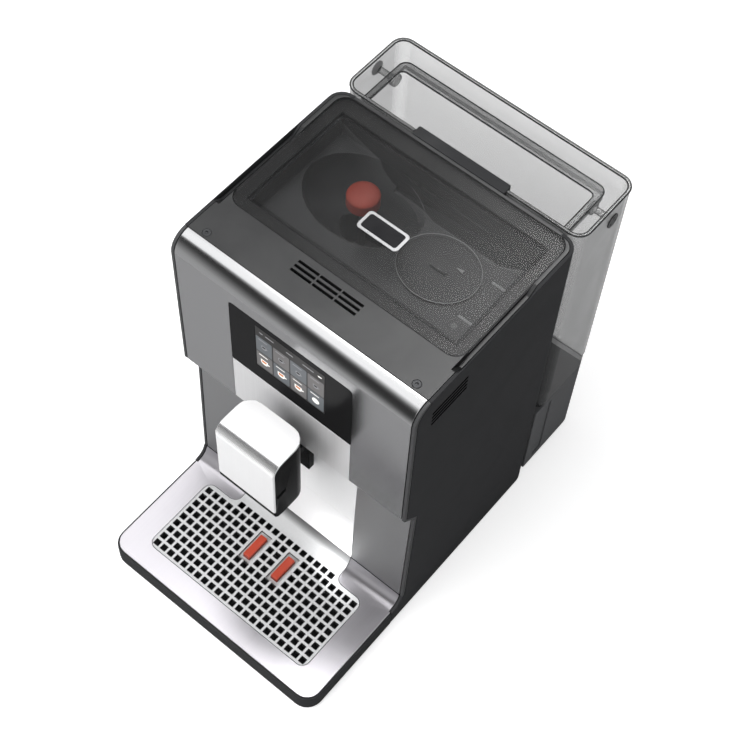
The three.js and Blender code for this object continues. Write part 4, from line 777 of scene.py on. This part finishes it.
# Marks seen through the smoked lid, in millimetres, among them painted light: highlight lines along the chute
# lid and bowl edges, and painted shade in the basin

lidMarks = {
    "chute": (43, 125), "chuteHalf": (34.8, 30.8), "chuteLine": 0.4,
    "bowl": (-44.5, 139.5), "bowlHalf": (54.2, 41.2), "bowlLine": 0.28,
    "dot": (43.2, 124), "dotRadius": 0.8, "arrow": (57.5, 134), "arrowRadius": 4.4, "arrowShape": (1, 0.5),
    "lobe": (9.5, 145), "lobeRadius": 14, "lobeShape": (1, 8.5 / 14),
    "shelfDrop": 17.7, "blob": (83.2, 92.8), "blobRadius": 2.6, "tickSize": (12.5, 2.4),
    "ticks": ((87.2, 143.1), (86.4, 102.2)),
}


def addOutline(name, x, y, z, across, deep, line):
    deselectAll()
    bpy.ops.mesh.primitive_torus_add(
        major_radius=across * mm, minor_radius=line * mm, major_segments=72, minor_segments=8,
        location=place(x, y, z),
    )
    outline = bpy.context.object
    outline.name = name
    outline.scale = (1, deep / across, 0.3)
    settle(outline)
    smooth(outline, 60)
    return outline


def makeChuteMarks():
    m = lidMarks
    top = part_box("chute_lid")[1].z / mm
    # A light ring around the chute lid's edge, a painted highlight along its rim
    ring = addOutline("chuteOutline", *m["chute"], top - 0.05, *m["chuteHalf"], m["chuteLine"])
    finishPiece(ring, "housing", finish["mark_grey"])
    dot = addDisc("chuteDot", (*m["dot"], top + 0.03), m["dotRadius"], 0.06, sides=16)
    finishPiece(dot, "chute_lid_body", finish["mark_dim"])
    turn = (0, 0, math.radians(90))
    arrow = addDisc("chuteArrow", (*m["arrow"], top + 0.03), m["arrowRadius"], 0.06, turn, 3)
    squeeze(arrow, (*m["arrow"], top), *m["arrowShape"])
    finishPiece(arrow, "chute_lid_body", finish["mark_grey"])


def makeBasinMarks():
    m = lidMarks
    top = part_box("bean_hopper")[1].z
    platform = (top - beanSlope["drop"]) / mm
    # A lighter ring along the bowl's edge, a painted highlight where its rim catches light
    ring = addOutline("bowlOutline", *m["bowl"], platform + 0.02, *m["bowlHalf"], m["bowlLine"])
    finishPiece(ring, "housing", finish["mark_dim"])
    # A black disc on the platform, painted as the shade in a hollow of the basin
    lobe = addDisc("basinLobe", (*m["lobe"], platform + 0.02), m["lobeRadius"], 0.04)
    squeeze(lobe, (*m["lobe"], platform), *m["lobeShape"])
    finishPiece(lobe, "housing", finish["black_plastic"])
    shelf = top / mm - m["shelfDrop"]
    blob = addDisc("basinBlob", (*m["blob"], shelf + 0.05), m["blobRadius"], 0.2)
    finishPiece(blob, "housing", finish["mark_dim"])
    long, thin = m["tickSize"]
    for index, (x, y) in enumerate(m["ticks"]):
        low = (x - long / 2, y - thin / 2, shelf - 0.05)
        high = (x + long / 2, y + thin / 2, shelf + 0.2)
        tick = addPlate(f"basinTick{index}", low, high, 2, 0.5)
        finishPiece(tick, "housing", finish["mark_grey"])


makeChuteMarks()
makeBasinMarks()
print("lid marks made")


# Dark rim lines of the clear tank and its handle, painted as the dark edges that the clear plastic shows by
# refraction

rimLines = {"tankRim": ("water_tank", 0.75), "handleRim": ("tank_handle", 0.6)}


def makeRimLine(name, node, radius):
    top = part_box(node)[1].z
    line = copyNode(name, node)
    settle(line)
    selectParts(line, "FACE", lambda face: face.normal.z > 0.9 and abs(face.center.z - top) < 0.0002)
    bpy.ops.mesh.select_all(action="INVERT")
    bpy.ops.mesh.delete(type="FACE")
    bpy.ops.mesh.select_all(action="SELECT")
    bpy.ops.mesh.remove_doubles(threshold=mergeReach)
    bpy.ops.mesh.region_to_loop()
    bpy.ops.mesh.select_all(action="INVERT")
    bpy.ops.mesh.delete(type="EDGE_FACE")
    bpy.ops.object.mode_set(mode="OBJECT")
    bpy.ops.object.convert(target="CURVE")
    line.data.bevel_depth = radius * mm
    line.data.bevel_resolution = 2
    bpy.ops.object.convert(target="MESH")
    line.location.z = -radius * mm
    settle(line)
    smooth(line, 60)
    # The near-opaque dark finish is the painted dark edge of the clear rim
    finishPiece(line, bodyOf[node], finish["rim_smoke"])


for name, (node, radius) in rimLines.items():
    makeRimLine(name, node, radius)
print("rim lines made")


# Camera, lamps, and cards that only glossy rays see, with their glow along one axis as stops

camera = {"place": (0.42032, -0.54416, 1.3452), "turn": (0.54098, -0.03453, 0.69088), "lens": 75.7}
studio = {
    "floorColour": (0.78, 0.78, 0.785),
    "mirroredFloor": (0.42, 0.42, 0.425),
    "floorGlow": 0.62,
    "skyStrength": 0.4,
    "top": {"place": (-0.2, -0.1, 1.6), "size": (0.7, 0.7), "power": 7.5, "target": (-0.05, -0.1, 0.2)},
    "front": {"place": (-0.43, -0.85, 1.2), "size": (1.4, 0.8), "power": 11, "target": (0, 0, 0.3)},
    "side": {"place": (1.5, 0.15, 0.9), "size": (0.8, 1.0), "power": 1.5, "target": (0, 0, 0.2)},
    "cup": {"place": (-0.08, -0.55, 0.32), "size": (0.35, 0.2), "power": 0.5, "target": (0, -0.07, 0.12)},
    "glow": {
        "place": (0.052, -0.1, 0.052), "size": (0.02, 0.02), "power": 0.03, "target": (0.062, -0.07, 0.045),
    },
    "fade": {
        "place": (-0.3, -0.609, 0.415), "size": (3.0, 1.0), "turn": (123.9, 0, 0), "axis": "Y",
        "stops": ((-0.5, 0.6), (0.5, 0.5)),
    },
    "shade": {
        "place": (-0.125, -0.33, 0.575), "size": (0.9, 0.7), "turn": (90, 40, 0), "axis": "Y",
        "stops": (
            (-0.5, 0.6), (-0.36, 0.55), (-0.27, 0.36), (-0.2, 0.21), (-0.14, 0.094), (-0.09, 0.05),
            (0.0, 0.033), (0.07, 0.094), (0.14, 0.46), (0.23, 1.2), (0.31, 1.8), (0.5, 2.0),
        ),
    },
    "far": {
        "place": (-0.43, -0.85, 1.2), "size": (1.6, 1.0), "turn": (43, 0, 0), "axis": "Y",
        "stops": ((-0.5, 0.9), (0.5, 0.9)),
    },
    "veil": {
        "place": (-0.65, 1.22, 2.0), "size": (1.3, 1.12), "turn": (180, 0, 0), "axis": "X",
        "stops": ((-0.5, 0.5), (-0.25, 0.55), (-0.05, 1.0), (0.1, 3.6), (0.22, 8.5), (0.5, 10.0)),
    },
    "ridge": {
        "place": (-0.45, -0.225, 1.5), "size": (1.3, 0.65), "turn": (180, 0, 0), "axis": "Y",
        "stops": ((-0.5, 1.8), (0.5, 1.8)),
    },
    "trayFront": {
        "place": (-0.44, 0.19, 1.5), "size": (0.82, 0.22), "turn": (180, 0, 0), "axis": "X",
        "stops": ((-0.5, 1.2), (-0.15, 1.7), (0.15, 5.0), (0.27, 12.0), (0.5, 16.0)),
    },
    "trayLeft": {
        "place": (-1.0, 0.53, 2.2), "size": (0.3, 0.34), "turn": (180, 0, 0), "axis": "X",
        "stops": ((-0.5, 1.35), (0.5, 1.35)),
    },
    "trayRight": {
        "place": (-0.415, 0.53, 2.2), "size": (0.17, 0.34), "turn": (180, 0, 0), "axis": "Y",
        "stops": (
            (-0.5, 0.1), (-0.38, 0.11), (-0.2, 0.48), (-0.15, 0.5), (-0.04, 1.1), (0.074, 1.5), (0.41, 1.75),
            (0.5, 1.8),
        ),
    },
    "crest": {
        "place": (-0.8, 0.6, 2.3), "size": (1.2, 0.5), "turn": (180, 0, 0), "axis": "X",
        "stops": ((-0.5, 1.7), (0.5, 1.8)),
    },
}


def makeCamera():
    data = bpy.data.cameras.new("photoCamera")
    data.sensor_width = 36
    data.lens = camera["lens"]
    data.clip_start = 0.05
    viewer = bpy.data.objects.new("photoCamera", data)
    viewer.location = camera["place"]
    viewer.rotation_euler = camera["turn"]
    bpy.context.scene.collection.objects.link(viewer)
    bpy.context.scene.camera = viewer


def addSoftbox(name, values):
    data = bpy.data.lights.new(name, "AREA")
    data.shape = "RECTANGLE"
    data.size, data.size_y = values["size"]
    data.energy = values["power"]
    lamp = bpy.data.objects.new(name, data)
    lamp.location = values["place"]
    aim = Vector(values["target"]) - Vector(values["place"])
    lamp.rotation_euler = aim.to_track_quat("-Z", "Y").to_euler()
    bpy.context.scene.collection.objects.link(lamp)
    return lamp


def seenDirectly(tree, rays=("Is Glossy Ray", "Is Transmission Ray")):
    path = tree.nodes.new("ShaderNodeLightPath")
    seen = path.outputs["Is Camera Ray"]
    for ray in rays:
        seen = addMath(tree, "MAXIMUM", seen, path.outputs[ray])
    return seen


def addSheet(name, middle, size, turn=(0, 0, 0)):
    deselectAll()
    bpy.ops.mesh.primitive_plane_add(size=1, location=middle, rotation=turn)
    sheet = bpy.context.object
    sheet.name = name
    sheet.scale = (*size, 1)
    return sheet


def addCard(name, values):
    turn = tuple(math.radians(part) for part in values["turn"])
    card = addSheet(name, values["place"], values["size"], turn)
    material, tree, shader = startFinish(name + "Cloth", 1.0, specular=0.0)
    shader.inputs["Base Color"].default_value = (0.01, 0.01, 0.01, 1)
    shader.inputs["Emission Color"].default_value = (1, 1, 1, 1)
    along = axesOf(tree)[values["axis"]]
    stops = values["stops"]
    (start, dim), (end, bright) = stops[:2]
    glow = spreadValue(tree, along, dim, bright, start, end)
    for (start, dim), (end, bright) in zip(stops[1:], stops[2:]):
        glow = addMath(tree, "ADD", glow, spreadValue(tree, along, 0.0, bright - dim, start, end))
    tree.links.new(glow, shader.inputs["Emission Strength"])
    card.data.materials.append(material)
    for ray in ("camera", "diffuse", "shadow", "transmission"):
        setattr(card, "visible_" + ray, False)


def makeStage():
    scene = bpy.context.scene
    scene.view_settings.view_transform = "Standard"
    world = bpy.data.worlds.new("studioWorld")
    scene.world = world
    world.use_nodes = True
    tree = world.node_tree
    background = tree.nodes["Background"]
    background.inputs["Color"].default_value = (1, 1, 1, 1)
    sky = spreadValue(tree, seenDirectly(tree), studio["skyStrength"], 1.0)
    tree.links.new(sky, background.inputs["Strength"])

    floor = addSheet("studioFloor", (0, 0, -0.0005), (9, 9))
    material, tree, shader = startFinish("floorPaper", 0.9, specular=0.0)
    mirrored = tree.nodes.new("ShaderNodeLightPath").outputs["Is Glossy Ray"]
    tone = mixTones(tree, mirrored, studio["floorColour"], studio["mirroredFloor"])
    tree.links.new(tone, shader.inputs["Base Color"])
    shader.inputs["Emission Color"].default_value = (1, 1, 1, 1)
    glow = spreadValue(tree, seenDirectly(tree, ("Is Transmission Ray",)), 0.0, studio["floorGlow"])
    tree.links.new(glow, shader.inputs["Emission Strength"])
    floor.data.materials.append(material)

    for name in ("fade", "shade", "far", "veil", "ridge", "trayFront", "trayLeft", "trayRight", "crest"):
        addCard(name, studio[name])
    for name in ("top", "front", "side", "cup", "glow"):
        lamp = addSoftbox(name + "Lamp", studio[name])
        lamp.visible_camera = False
        lamp.visible_glossy = name == "side"


makeCamera()
makeStage()
print("camera and studio made")
